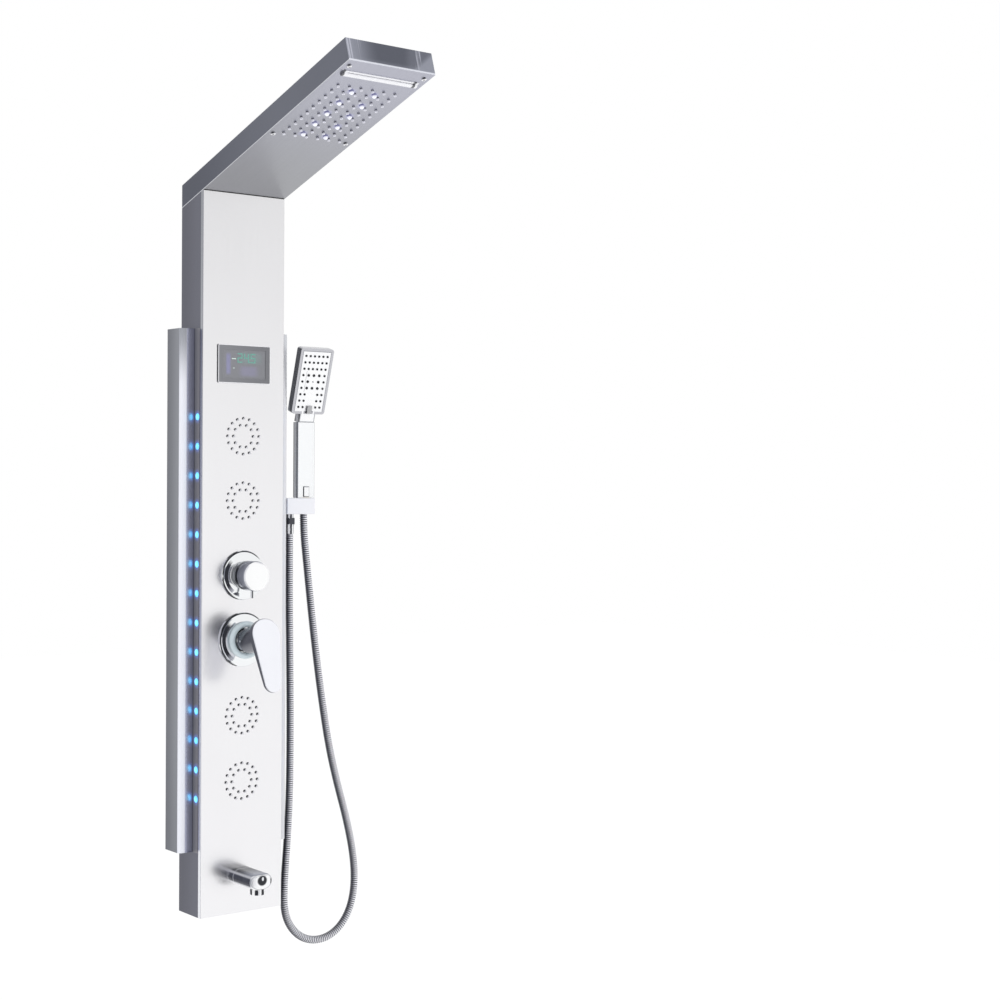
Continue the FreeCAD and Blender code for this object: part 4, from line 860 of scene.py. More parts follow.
@dataclass(frozen=True)
class TurnedChrome(Finish):
    """Plated part that stands out of the panel, with light and shade painted into its tone: one tone in
    front, painted shade on its flank and next to the panel, and painted light on its lower flank.

    Attributes:
        face: Tone of what faces the room.
        flank: Tone of its flank, painted shade.
        band: Tone of the flank next to the panel, painted shade.
        start: Y at which that band starts.
        full: Y at which it is full.
        low: Tone of the flank's lower side, painted light.
        metallic: Share of metal.
    """

    face: Colour
    flank: Colour
    band: Colour
    start: float
    full: float
    low: Colour | None = None
    metallic: float = 1.0

    def build(self) -> bpy.types.Material:
        """Build the material.

        Returns:
            The finished material.
        """
        g = Graph(self.name)
        _, ny, nz = g.facing()
        y = g.spot()[1]
        film = g.grain(30.0, 3.0)
        # painted light and shade: a lighter lower flank, and a band next to the panel
        flank = g.blend(nz.ease(-0.2, -0.9), self.flank, self.low or self.flank)
        flank = g.blend(y.ease(self.start, self.full), flank, self.band)
        colour = g.blend(abs(ny).ease(0.45, 0.80), flank, self.face)
        colour = g.blend((film - 0.45) * 0.08, colour, self.band)
        return g.surface({
            "Base Color": colour,
            "Metallic": self.metallic,
            "Roughness": 0.07 + film * 0.04,
            "Normal": g.bump(film, 0.06, 0.00004),
        })


@dataclass(frozen=True)
class PlateChrome(Finish):
    """Round wall plate with a painted dark reflection line near its edge on the shaded upper left, and a
    painted dark reflection on what leans to the left.

    Attributes:
        centre: Z of its middle.
        radius: Its radius.
        tint: Its tone.
        dark: Tone of the painted dark reflection.
    """

    centre: float
    radius: float
    tint: Colour = (0.88, 0.895, 0.905)
    dark: Colour = (0.035, 0.038, 0.045)

    def build(self) -> bpy.types.Material:
        """Build the material.

        Returns:
            The finished material.
        """
        g = Graph(self.name)
        x, _, z = g.spot()
        rise = z - self.centre
        far = g.far(x, rise)
        # painted dark reflection line near the edge on the upper left only, then painted dark reflection
        # where the surface leans to the left
        shade = (rise * 0.62 - x * 0.78) / far
        wave = g.grain(90.0, 2.0)
        inner, outer = self.radius - 0.0030, self.radius - 0.0004
        line = far.ease(inner, self.radius - 0.0024) * far.ease(outer, self.radius - 0.0010)
        line = line * shade.ease(-0.30, 0.10) * (wave.ease(0.30, 0.42) * 0.6 + 0.4)
        line = g.most(line, g.lean_left() * 0.97)
        return g.surface({
            "Base Color": g.blend(line, self.tint, self.dark),
            "Metallic": 1.0,
            "Roughness": 0.05 + wave * 0.03,
            "Normal": g.bump(wave, 0.06, 0.00004),
        })


@dataclass(frozen=True)
class SpoutChrome(Finish):
    """Bath spout's plating with painted reflections: a dark flank and top, and on its bowed end bright
    lobes, dark spots and a glint.

    Attributes:
        low: Z of its underside.
        high: Z of its top.
        end: Y of its bowed end.
        root: Y of its flange.
        half: Half its width.
    """

    low: float = -0.962
    high: float = -0.937
    end: float = -0.136
    root: float = -0.078
    half: float = 0.0205

    def oval(
        self, across: Wire, up: Wire, x: float, height: float, wide: float, tall: float, soft: float = 0.30
    ) -> Wire:
        """Return a soft oval spot on the bowed end.

        Args:
            across: Place across the end, from -1 to 1.
            up: Place up the end, from 0 to 1.
            x: Middle of the spot across the end.
            height: Middle of the spot up the end.
            wide: Half its width.
            tall: Half its height.
            soft: Width of its soft edge, as a share.

        Returns:
            1 inside the spot and 0 outside.
        """
        a, b = (across - x) / wide, (up - height) / tall
        return (a * a + b * b).ease(1.0 + soft, 1.0 - soft)

    def build(self) -> bpy.types.Material:
        """Build the material.

        Returns:
            The finished material.
        """
        g = Graph(self.name)
        nx, _, nz = g.facing()
        x, y, z = g.spot()
        film = g.grain(120.0, 3.0)
        up = (z - self.low) / (self.high - self.low)
        out = (y - self.root) / (self.end - self.root)
        # painted reflections: a dark flank, lighter towards its top and with a light lower edge, and a top
        # that lightens towards the end
        side = g.blend(up.ease(0.95, 0.35), (0.060, 0.066, 0.092), (0.028, 0.032, 0.048))
        side = g.blend(up.ease(0.20, 0.06), side, (0.36, 0.38, 0.46))
        side = g.blend((film - 0.42) * 0.9, side, (0.14, 0.15, 0.18))
        top = g.blend(out.ease(0.1, 1.0), (0.030, 0.033, 0.044), (0.34, 0.36, 0.42))
        # painted reflections on the bowed end: bright lobes, a grey rim line, dark spots, a glint and a
        # dark upper edge
        end = g.blend(abs(x / self.half).ease(1.0, 0.72), (0.50, 0.51, 0.55), (0.97, 0.97, 0.98))
        mark = self.oval(x / self.half, up, 0.0, 0.60, 0.42, 0.32)
        glint = self.oval(x / self.half, up, 0.04, 0.70, 0.09, 0.12)
        rim = abs(self.oval(x / self.half, up, 0.0, 0.52, 0.93, 0.50, 0.24) - 0.5).ease(0.42, 0.10)
        side_dark_reflection = self.oval(x / self.half, up, 0.90, 0.48, 0.12, 0.20)
        end = g.blend(rim * 0.55, end, (0.22, 0.23, 0.26))
        end = g.blend(g.most(mark, side_dark_reflection), end, (0.018, 0.020, 0.026))
        end = g.blend(glint, end, (0.80, 0.81, 0.84))
        end = g.blend(up.ease(0.92, 0.99) * 0.7, end, (0.05, 0.052, 0.062))
        colour = g.blend(abs(nx).ease(0.80, 0.92), end, side)
        colour = g.blend(nz.ease(0.60, 0.85), colour, top)
        # painted highlight along the flange seam
        seam_highlight = abs(y - self.root + 0.0006).ease(0.0011, 0.0005)
        colour = g.blend(seam_highlight * 0.8, colour, (0.62, 0.63, 0.68))
        return g.surface({
            "Base Color": colour,
            "Metallic": 0.35,
            "Roughness": 0.16 + film * 0.05,
            "Normal": g.bump(film, 0.08, 0.00004),
        })


@dataclass(frozen=True)
class BandedChrome(Finish):
    """Plated outlet with painted bright and dark reflection bands round it.

    Attributes:
        bands: Number of painted dark reflection bands round it.
        turn: Where the first one stands, in turns.
        dark: Tone of a painted dark reflection band.
    """

    bands: float = 7.0
    turn: float = 0.0
    dark: Colour = (0.020, 0.022, 0.028)

    def build(self) -> bpy.types.Material:
        """Build the material.

        Returns:
            The finished material.
        """
        g = Graph(self.name)
        nx, ny, _ = g.facing()
        fine = g.grain(300.0, 2.0)
        # painted reflections: dark and bright bands by the way the surface faces
        angle = g.math("ARCTAN2", ny, nx) * (self.bands / (2 * math.pi)) + self.turn + (fine - 0.5) * 0.2
        bright = abs(angle % 1.0 - 0.5).ease(0.20, 0.32)
        return g.surface({
            "Base Color": g.blend(bright, self.dark, (0.95, 0.95, 0.96)),
            "Metallic": 0.3,
            "Roughness": 0.14 + fine * 0.05,
            "Normal": g.bump(fine, 0.1, 0.00004),
        })


@dataclass(frozen=True)
class HandsetPlating(Finish):
    """White plating of the hand shower with painted shade on its flanks and painted grey shade lines along
    its edges, at its neck and round the pause tab.

    Attributes:
        handle: Half width of the handle.
        neck: Half width of the neck.
        head_low: Z of the head's lower edge.
        back: Y of the handle's back face.
        white: Tone of the handle's front.
        rim: Tone of the head's frame, and painted shade on what faces down or up.
        tab: Half width, half height and Z of the pause tab.
    """

    handle: float = 0.0175
    neck: float = 0.0145
    head_low: float = level(0.8095)
    back: float = -0.0235
    white: Colour = (0.955, 0.965, 0.975)
    rim: Colour = (0.540, 0.540, 0.570)
    tab: tuple[float, float, float] = (0.0050, 0.0080, -0.3295)

    def build(self) -> bpy.types.Material:
        """Build the material.

        Returns:
            The finished material.
        """
        g = Graph(self.name)
        nx, _, nz = g.facing()
        x, y, z = g.spot()
        film = g.grain((30.0, 30.0, 12.0), 2.0)
        away = abs(x - HAND_X)
        in_head = z.ease(self.head_low - 0.0005, self.head_low + 0.0005)
        front = g.blend(in_head, self.white, self.rim)
        # painted grey shade lines along the handle's edges, round the neck and round the pause tab, darker
        # on the tab's left
        edge = away.ease(self.handle - 0.0022, self.handle - 0.0008) * z.ease(HAND_NECK, HAND_NECK - 0.0006)
        collar = away.ease(self.neck - 0.0018, self.neck - 0.0006) * (1.0 - in_head)
        collar = collar * z.ease(HAND_NECK - 0.0006, HAND_NECK)
        line = abs(z - HAND_NECK - 0.0002).ease(0.0011, 0.0004)
        round_tab = g.most(away - self.tab[0], abs(z - self.tab[2]) - self.tab[1])
        tab_line = round_tab.ease(0.0, 0.0002) * round_tab.ease(0.0013, 0.0009)
        tab_line = tab_line * (0.65 + (HAND_X - x).ease(0.0, 0.001) * 0.35)
        marks = g.most(edge, collar, line, tab_line)
        front = g.blend(marks * 0.9, front, (0.20, 0.205, 0.23))
        # painted shade on the flanks, darkest at the front and back edges, and on what faces down or up
        across = (y - HAND_FRONT) / (self.back - HAND_FRONT)
        flank = g.blend(abs(across - 0.45).ease(0.15, 0.42), (0.420, 0.425, 0.455), (0.095, 0.097, 0.110))
        colour = g.blend(abs(nx).ease(0.45, 0.75), front, flank)
        colour = g.blend(nz.ease(0.5, 0.8), colour, self.rim)
        colour = g.blend((film - 0.5) * 0.10 + 0.02, colour, (0.5, 0.5, 0.52))
        return g.surface({
            "Base Color": colour,
            "Metallic": 0.6 - abs(nx).ease(0.45, 0.75) * 0.25,
            "Roughness": 0.14 + film * 0.04,
            "Normal": g.bump(film, 0.10, 0.00004),
        })


@dataclass(frozen=True)
class FaceWhite(Finish):
    """White spray face with a fine grey line along its outline.

    Attributes:
        half: Half its width.
        low: Its lower end, up the face from the neck.
        high: Its upper end.
    """

    half: float = 0.0275
    low: float = 0.0185
    high: float = 0.1215

    def build(self) -> bpy.types.Material:
        """Build the material.

        Returns:
            The finished material.
        """
        g = Graph(self.name)
        x, y, z = g.spot()
        rise = (y - HAND_FRONT) * -math.sin(HAND_TILT) + (z - HAND_NECK) * math.cos(HAND_TILT)
        haze = g.grain(40.0, 2.0)
        side = abs(x - HAND_X).ease(self.half - 0.0014, self.half - 0.0006)
        side = side * rise.ease(self.low - 0.001, self.low)
        ends = rise.ease(self.high - 0.0014, self.high - 0.0006)
        line = g.most(side, ends)
        white = g.blend(haze, (0.945, 0.950, 0.965), (0.985, 0.985, 0.990))
        return g.surface({
            "Base Color": g.blend(line, white, (0.27, 0.275, 0.30)),
            "Metallic": 0.5,
            "Roughness": 0.20 + haze * 0.05,
            "Normal": g.bump(haze, 0.05, 0.00003),
        })


@dataclass(frozen=True)
class TintedGlass(Finish):
    """Smoked cover glass, clear over the read-out and printed grey round it.

    Attributes:
        half_width: Half the width of the clear part.
        half_height: Half its height.
        tone: Tone of the print at its left end.
    """

    half_width: float = 0.040
    half_height: float = 0.0235
    tone: Colour = (0.235, 0.237, 0.255)

    def build(self) -> bpy.types.Material:
        """Build the material.

        Returns:
            The finished material.
        """
        g = Graph(self.name)
        x, _, z = g.spot()
        smear = g.grain((25.0, 25.0, 60.0), 3.0)
        outside = abs(x).ease(self.half_width - 0.0007, self.half_width - 0.0005)
        over = abs(z - DISPLAY_Z).ease(self.half_height - 0.0007, self.half_height - 0.0005)
        hidden = g.most(outside, over)
        tone = g.blend(x.ease(-0.045, 0.045), self.tone, tuple(c * 0.80 for c in self.tone))
        return g.surface({
            "Base Color": g.blend(smear * 0.2, tone, (0.20, 0.20, 0.21)),
            "Roughness": 0.14 + smear * 0.06,
            "Alpha": 0.12 + hidden * 0.88,
            "Specular IOR Level": 0.30,
        })


@dataclass(frozen=True)
class DisplayFilm(Finish):
    """Grey film behind the glass, with a violet bar, a violet bloom and a green haze.

    Attributes:
        tone: Its tone at the left end.
        lift: Plain grey light over all of it.
    """

    tone: Colour = (0.245, 0.247, 0.262)
    lift: Colour = (0.235, 0.239, 0.258)

    def build(self) -> bpy.types.Material:
        """Build the material.

        Returns:
            The finished material.
        """
        g = Graph(self.name)
        x, _, z = g.spot()
        speck = g.grain(900.0, 2.0)
        rise = z - DISPLAY_Z
        bar = abs(x + 0.0285).ease(0.0060, 0.0015) * abs(rise).ease(0.020, 0.012)
        bloom = abs(x - 0.009).ease(0.022, 0.008) * abs(rise + 0.011).ease(0.0110, 0.0040)
        haze = abs(x - 0.012).ease(0.026, 0.008) * abs(rise - 0.010).ease(0.0120, 0.0040)
        light = g.blend(bar, BLACK, (0.045, 0.040, 0.200))
        light = g.blend(bloom * 0.8, light, (0.050, 0.038, 0.135))
        light = g.blend(haze * 0.8, light, (0.0, 0.085, 0.060))
        tone = g.blend(x.ease(-0.045, 0.045), self.tone, tuple(c * 0.82 for c in self.tone))
        return g.surface({
            "Base Color": g.blend(0.8 + speck * 0.2, tone, (0.02, 0.02, 0.022)),
            "Roughness": 0.55 + speck * 0.1,
            "Specular IOR Level": 0.1,
            "Emission Color": g.blend(1.0, light, self.lift, "ADD"),
            "Emission Strength": 1.0,
        })


@dataclass(frozen=True)
class Lit(Finish):
    """Lit figures or marks behind glass.

    Attributes:
        tint: Colour of the light.
        strength: Its strength.
    """

    tint: Colour
    strength: float = 1.0

    def build(self) -> bpy.types.Material:
        """Build the material.

        Returns:
            The finished material.
        """
        g = Graph(self.name)
        cell = g.grain(1500.0, 1.0)
        dim = tuple(c * 0.6 for c in self.tint)
        return g.surface({
            "Base Color": g.blend(cell, dim, self.tint),
            "Roughness": 0.4 + cell * 0.1,
            "Emission Color": g.blend(cell.ease(0.3, 0.7), dim, self.tint),
            "Emission Strength": self.strength,
        })


@dataclass(frozen=True)
class CircuitBoard(Finish):
    """Green board with lighter tracks."""

    def build(self) -> bpy.types.Material:
        """Build the material.

        Returns:
            The finished material.
        """
        g = Graph(self.name)
        z = g.spot()[2]
        lane = abs((z * 160.0) % 1.0 - 0.5).ease(0.18, 0.12)
        speck = g.grain(400.0, 2.0)
        colour = g.blend(lane * 0.7, (0.012, 0.09, 0.04), (0.03, 0.19, 0.08))
        return g.surface({
            "Base Color": g.blend(speck.ease(0.62, 0.68), colour, (0.55, 0.50, 0.30)),
            "Roughness": 0.45 + speck * 0.1,
            "Normal": g.bump(lane, 0.2, 0.0001),
        })


class Palette:
    """Every finish of the object, built once."""

    def __init__(self) -> None:
        """Build the materials."""
        lens_rim, lens_heart = (0.022, 0.26, 0.72), (0.24, 0.82, 0.98)
        finishes: dict[str, Finish] = {
            "panel": SatinSteel(
                "panel_satin_steel", (0.875, 0.870, 0.885), (0.34, 0.35, 0.38), (0.60, 0.61, 0.63), 0.24,
                top_fade=0.055, streak=0.02, side_low=(0.80, 0.81, 0.85),
            ),
            "case": SatinSteel(
                "case_brushed_steel", (0.45, 0.47, 0.50), (0.135, 0.138, 0.170), (0.30, 0.31, 0.33), 0.34,
                depth_fade=0.10, streak=0.06,
            ),
            "wing_left": WingSteel("wing_polished_steel_left"),
            "wing_right": WingSteel(
                "wing_polished_steel_right", side=(0.50, 0.51, 0.54), side_back=(0.40, 0.41, 0.44),
                bright=(0.82, 0.82, 0.85), dim=(0.76, 0.77, 0.80), glow=0.0,
            ),
            "arm": ArmSteel("arm_satin_steel"),
            "strip": StripCover("lamp_strip_cover"),
            "lens": LampLens("lamp_lens_cyan", lens_rim, lens_heart, 1.0, 0.0085),
            "arm_lens": SprayTip(
                "arm_lamp_lens", (0.20, 0.20, 0.34), (0.88, 0.89, 0.97), 0.0004, 0.0026, 0.30, 1.6,
            ),
            "spray_tip": SprayTip(
                "spray_silicone", (0.030, 0.031, 0.040), (0.82, 0.82, 0.90), 0.0002, 0.0014,
            ),
            "jet_tip": RoundTip(
                "jet_silicone", (0.020, 0.020, 0.024), (0.88, 0.88, 0.92), (0.80, 0.0, -0.60), -0.50, 0.05,
            ),
            "head_screw": RoundTip(
                "screw_plating", (0.025, 0.026, 0.032), (0.93, 0.93, 0.96), (0.60, 0.80, 0.0), -0.95, -0.40,
                0.6,
            ),
            "chrome": Polished("chrome_plating", (0.88, 0.895, 0.905), 0.045, shade=0.95),
            "knob": TurnedChrome(
                "knob_plating", (0.985, 0.985, 0.985), (0.250, 0.262, 0.305), (0.040, 0.044, 0.055),
                -0.0950, -0.0915, (0.42, 0.43, 0.48), 0.55,
            ),
            "lever": TurnedChrome(
                "lever_plating", (0.925, 0.930, 0.975), (0.100, 0.104, 0.125), (0.120, 0.128, 0.155),
                -0.1000, -0.0920, (0.22, 0.225, 0.25), 0.45,
            ),
            "turret": TurnedChrome(
                "turret_plating", (0.42, 0.44, 0.50), (0.140, 0.152, 0.185), (0.060, 0.065, 0.080), -0.0900,
                -0.0860, (0.34, 0.36, 0.42), 0.25,
            ),
            "diverter_plate": PlateChrome("diverter_plate_chrome", DIVERTER_Z, 0.040),
            "mixer_plate": PlateChrome("mixer_plate_chrome", MIXER_Z, 0.044),
            "spout": SpoutChrome("spout_plating"),
            "aerator": BandedChrome("aerator_plating"),
            "holder": TurnedChrome(
                "holder_plating", (0.90, 0.90, 0.94), (0.86, 0.86, 0.91), (0.70, 0.70, 0.76), -0.020, 0.0,
                metallic=0.15,
            ),
            "bar": BarSteel("bright_bar"),
            "fitting": BandedChrome("fitting_plating", 6.0, 0.15, (0.055, 0.057, 0.068)),
            "handset": HandsetPlating("handset_plating"),
            "face": FaceWhite("spray_face"),
            "button": SatinSteel(
                "pause_tab", (0.94, 0.945, 0.96), (0.035, 0.036, 0.042), (0.12, 0.12, 0.13), 0.18,
                streak=0.01,
            ),
            "tab": SatinSteel(
                "mode_tab", (0.44, 0.445, 0.455), (0.12, 0.12, 0.13), (0.48, 0.48, 0.49), 0.30, streak=0.02,
            ),
            "bracket": SatinSteel(
                "zinc_plated_steel", (0.55, 0.56, 0.58), (0.50, 0.51, 0.53), (0.50, 0.51, 0.53), 0.42,
                (90.0, 90.0, 90.0),
            ),
            "pipe": Polished("drawn_pipe", (0.60, 0.61, 0.63), 0.24),
            "hose": RoundTip(
                "hose_rib", (0.085, 0.086, 0.110), (0.96, 0.96, 1.0), (0.784, -0.621, 0.0), -0.45, 0.80,
                0.35,
            ),
            "hose_groove_shade": RoundTip(
                "hose_groove_shade", (0.014, 0.014, 0.020), (0.060, 0.060, 0.080), (0.784, -0.621, 0.0), -0.55,
                0.60, 0.5,
            ),
            "brass": Polished("cast_brass", (0.62, 0.44, 0.20), 0.28),
            "rubber": Moulded("grey_silicone", (0.014, 0.015, 0.020), 0.60),
            "dark_rubber": Moulded("dark_silicone", (0.035, 0.036, 0.042), 0.38),
            "moulding": Moulded("black_moulding", (0.035, 0.036, 0.04), 0.5),
            "spout_moulding": Moulded("grey_moulding", (0.30, 0.30, 0.32), 0.4),
            "ring": Moulded("tinted_ring", (0.69, 0.79, 0.83), 0.14, 0.00001, 0.6),
            "bezel": TurnedChrome(
                "silver_bezel", (0.86, 0.86, 0.89), (0.045, 0.046, 0.055), (0.045, 0.046, 0.055), -0.020,
                -0.010, (0.60, 0.60, 0.62), 0.5,
            ),
            "board": CircuitBoard("circuit_board"),
            "figures": Lit("green_figures", (0.16, 0.47, 0.38), 0.40),
            "marks": Lit("white_marks", (0.72, 0.88, 0.80), 0.85),
            "gasket": Moulded("black_shade_fill", (0.02, 0.02, 0.022), 0.6),
            "glass": TintedGlass("smoked_glass"),
            "film": DisplayFilm("display_film"),
        }
        self.materials = {key: finish.build() for key, finish in finishes.items()}

    def __getitem__(self, key: str) -> bpy.types.Material:
        """Return the material of a finish."""
        return self.materials[key]


# ---------- mesh making


class Body(Enum):
    """Moving groups of the object."""

    COLUMN = "column"
    HANDSET = "handset"


def make_object(name: str, mesh: bmesh.types.BMesh, material: bpy.types.Material) -> bpy.types.Object:
    """Turn a built mesh into an object of the scene.

    Args:
        name: Name of the object.
        mesh: Its geometry, freed here.
        material: Its finish.

    Returns:
        The new object.
    """
    data = bpy.data.meshes.new(name)
    mesh.to_mesh(data)
    mesh.free()
    data.materials.append(material)
    return place_object(name, data)


def place_object(name: str, data: bpy.types.ID) -> bpy.types.Object:
    """Put an object with the given data in the scene.

    Args:
        name: Name of the object.
        data: Its mesh, curve, light or camera.

    Returns:
        The new object.
    """
    made = bpy.data.objects.new(name, data)
    bpy.context.scene.collection.objects.link(made)
    return made


@dataclass
class Workshop:
    """What every sub-assembly needs to make and dress its pieces.

    Attributes:
        nodes: CAD objects by name.
        palette: The finishes.
    """

    nodes: dict[str, bpy.types.Object]
    palette: Palette

    def dress(self, **names: str) -> None:
        """Give CAD nodes their finishes.

        Args:
            **names: Names of the nodes of each finish, with spaces between them.
        """
        for finish, nodes in names.items():
            for name in nodes.split():
                slots = self.nodes[name].data.materials
                slots.clear()
                slots.append(self.palette[finish])

    def piece(
        self,
        name: str,
        mesh: bmesh.types.BMesh,
        finish: str,
        body: Body | None,
        smooth: bool = True,
    ) -> bpy.types.Object:
        """Turn a built mesh into a piece that rides on a body.

        Args:
            name: Name of the piece.
            mesh: Its geometry, freed here.
            finish: Key of its finish.
            body: The body it rides on, or None for a piece on no body.
            smooth: Whether its faces are shaded smooth.

        Returns:
            The new object.
        """
        bmesh.ops.recalc_face_normals(mesh, faces=mesh.faces)
        made = make_object(name, mesh, self.palette[finish])
        faces = made.data.polygons
        for face in faces:
            face.use_smooth = smooth
        if body:
            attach(made, body.value)
        log.info("piece %s: %d faces on %s", name, len(faces), body.value if body else "two bodies")
        return made


def add_rings(mesh: bmesh.types.BMesh, rings: Sequence[Sequence[Vector]], closed: bool = False) -> None:
    """Skin a row of closed rings.

    Args:
        mesh: Mesh that takes the faces.
        rings: Rings with equal numbers of points.
        closed: Whether both ends are capped.
    """
    made = [[mesh.verts.new(p) for p in ring] for ring in rings]
    for low, high in zip(made, made[1:]):
        for i, corner in enumerate(low):
            j = (i + 1) % len(low)
            mesh.faces.new((corner, low[j], high[j], high[i]))
    if closed:
        mesh.faces.new(made[0][::-1])
        mesh.faces.new(made[-1])


def add_slab(mesh: bmesh.types.BMesh, *spans: Span) -> None:
    """Add a plain block.

    Args:
        mesh: Mesh that takes the faces.
        *spans: Its lowest and highest X, then Y, then Z.
    """
    low, high = (Vector(corner) for corner in zip(*spans))
    place = Matrix.Translation((low + high) / 2) @ Matrix.Diagonal((*(high - low), 1.0))
    bmesh.ops.create_cube(mesh, size=1.0, matrix=place)


def around(count: int) -> list[Span]:
    """Return the cosine and sine of evenly spaced turns of a circle."""
    turns = (2 * math.pi * i / count for i in range(count))
    return [(math.cos(turn), math.sin(turn)) for turn in turns]


# ---------- sub-assemblies


@dataclass
class ColumnShell:
    """Folded column, wings, lamp strips and wall brackets.

    Attributes:
        half_width: Half the width of the black strip of painted shade under the arm.
        gasket: Height of that strip.
        depth: How far it stands out of the panel's front and reaches behind it.
    """

    half_width: float = 0.0738
    gasket: float = 0.0009
    depth: Span = (0.0004, 0.0002)

    def dress(self, shop: Workshop) -> None:
        """Dress the column's CAD nodes and add a black strip of painted shade along the joint under the
        arm.

        Args:
            shop: Nodes and finishes.
        """
        shop.dress(
            panel="front_panel", case="column_case", wing_left="wing_left", wing_right="wing_right",
            strip="led_strip_left led_strip_right", lens="led_lenses", board="led_boards",
            bracket="wall_brackets arm_bracket arm_screws",
        )
        # black strip of painted shade along the joint under the arm
        mesh = bmesh.new()
        out, back = self.depth
        add_slab(
            mesh,
            (-self.half_width, self.half_width),
            (PANEL_FRONT - out, PANEL_FRONT + back),
            (PANEL_TOP - self.gasket, PANEL_TOP),
        )
        shop.piece("joint_shade_strip", mesh, "gasket", Body.COLUMN, smooth=False)


@dataclass
class RainArm:
    """Sloping arm with its spray plate, lamps and waterfall outlet.

    Attributes:
        screw_x: Distance of the plate's screws from the middle.
        screw_along: Distances of the screws along the arm.
        radius: Radius of a screw's head.
        height: Height of the head.
        dome: Shares of the radius and height at each step of the head.
        sides: Points round the head.
        bar: Half length and half width of a bar of the cross recess.
        bar_depth: How far a bar reaches into the head and stands over it.
    """

    screw_x: float = 0.065
    screw_along: Span = (0.2038, 0.4195)
    radius: float = 0.0040
    height: float = 0.0022
    dome: tuple[Span, ...] = (
        (1.0, 0.0), (1.0, 0.35), (0.93, 0.62), (0.78, 0.84), (0.55, 0.96), (0.30, 1.0),
    )
    sides: int = 28
    bar: Span = (0.0019, 0.00035)
    bar_depth: Span = (0.0004, 0.00004)

    def place(self) -> Matrix:
        """Build the arm's own frame.

        Returns:
            The frame: Y along the arm towards its tip, Z down from its underside.
        """
        along = Vector((0.0, -ARM_COS, ARM_SIN))
        down = Vector((0.0, -ARM_SIN, -ARM_COS))
        turn = Matrix((along.cross(down), along, down)).transposed().to_4x4()
        return Matrix.Translation((0.0, PANEL_FRONT, PANEL_TOP)) @ turn

    def screw_head(self, mesh: bmesh.types.BMesh, centre: Vector) -> None:
        """Add a domed head with a cross recess.

        Args:
            mesh: Mesh that takes the faces.
            centre: Middle of the head's seat in the arm's frame.
        """
        rings = [
            [
                centre + Vector((self.radius * share * c, self.radius * share * s, self.height * rise))
                for c, s in around(self.sides)
            ]
            for share, rise in self.dome
        ]
        add_rings(mesh, rings, closed=True)

    def cross(self, mesh: bmesh.types.BMesh, centre: Vector) -> None:
        """Add black bars just over the head, painted shade standing in for its cross recess.

        Args:
            mesh: Mesh that takes the faces.
            centre: Middle of the head's seat in the arm's frame.
        """
        x, y, top = centre.x, centre.y, centre.z + self.height
        inside, over = self.bar_depth
        for wide, deep in (self.bar, self.bar[::-1]):
            add_slab(mesh, (x - wide, x + wide), (y - deep, y + deep), (top - inside, top + over))

    def dress(self, shop: Workshop) -> None:
        """Dress the arm's CAD nodes and add its screws.

        Args:
            shop: Nodes and finishes.
        """
        shop.dress(
            arm="arm_shell spray_plate", spray_tip="rain_nozzle_mat", moulding="rain_chamber",
            spout_moulding="waterfall_chamber", arm_lens="arm_lamp_lenses", board="arm_lamp_board",
            bar="waterfall_bar",
        )
        heads, slots = bmesh.new(), bmesh.new()
        for x in (-self.screw_x, self.screw_x):
            for along in self.screw_along:
                self.screw_head(heads, Vector((x, along, 0.0)))
                self.cross(slots, Vector((x, along, 0.0)))
        for mesh in (heads, slots):
            bmesh.ops.transform(mesh, matrix=self.place(), verts=mesh.verts)
        made = shop.piece("plate_screw_heads", heads, "head_screw", Body.COLUMN)
        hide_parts("plate_screws")
        # black bars over the heads, painted shade standing in for the cross recesses
        shop.piece("plate_screw_recesses", slots, "gasket", Body.COLUMN, smooth=False)


@dataclass
class Display:
    """Read-out behind a smoked glass.

    Attributes:
        half_width: Half the film's width.
        half_height: Half the film's height.
        film: How far the film's two sides stand before the board.
        mark: How far the marks' two sides stand before it.
        marks: X, rise, half width and half height of each small lit mark.
    """

    half_width: float = 0.0425
    half_height: float = 0.0255
    film: Span = (0.0002, 0.00008)
    mark: Span = (0.0005, 0.0001)
    marks: tuple[tuple[float, float, float, float], ...] = (
        (-0.0185, 0.0085, 0.0036, 0.0006),
        (-0.0185, -0.0065, 0.0011, 0.0006),
    )

    def dress(self, shop: Workshop) -> None:
        """Dress the display's CAD nodes and add its film and small marks.

        Args:
            shop: Nodes and finishes.
        """
        shop.dress(
            bezel="display_bezel", glass="display_glass", figures="display_digits", board="display_board"
        )
        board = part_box("display_board")[0][1]
        film = bmesh.new()
        add_slab(
            film,
            (-self.half_width, self.half_width),
            (board - self.film[0], board - self.film[1]),
            (DISPLAY_Z - self.half_height, DISPLAY_Z + self.half_height),
        )
        shop.piece("display_film", film, "film", Body.COLUMN, smooth=False)
        marks = bmesh.new()
        for x, rise, half_width, half_height in self.marks:
            add_slab(
                marks,
                (x - half_width, x + half_width),
                (board - self.mark[0], board - self.mark[1]),
                (DISPLAY_Z + rise - half_height, DISPLAY_Z + rise + half_height),
            )
        shop.piece("display_marks", marks, "marks", Body.COLUMN, smooth=False)


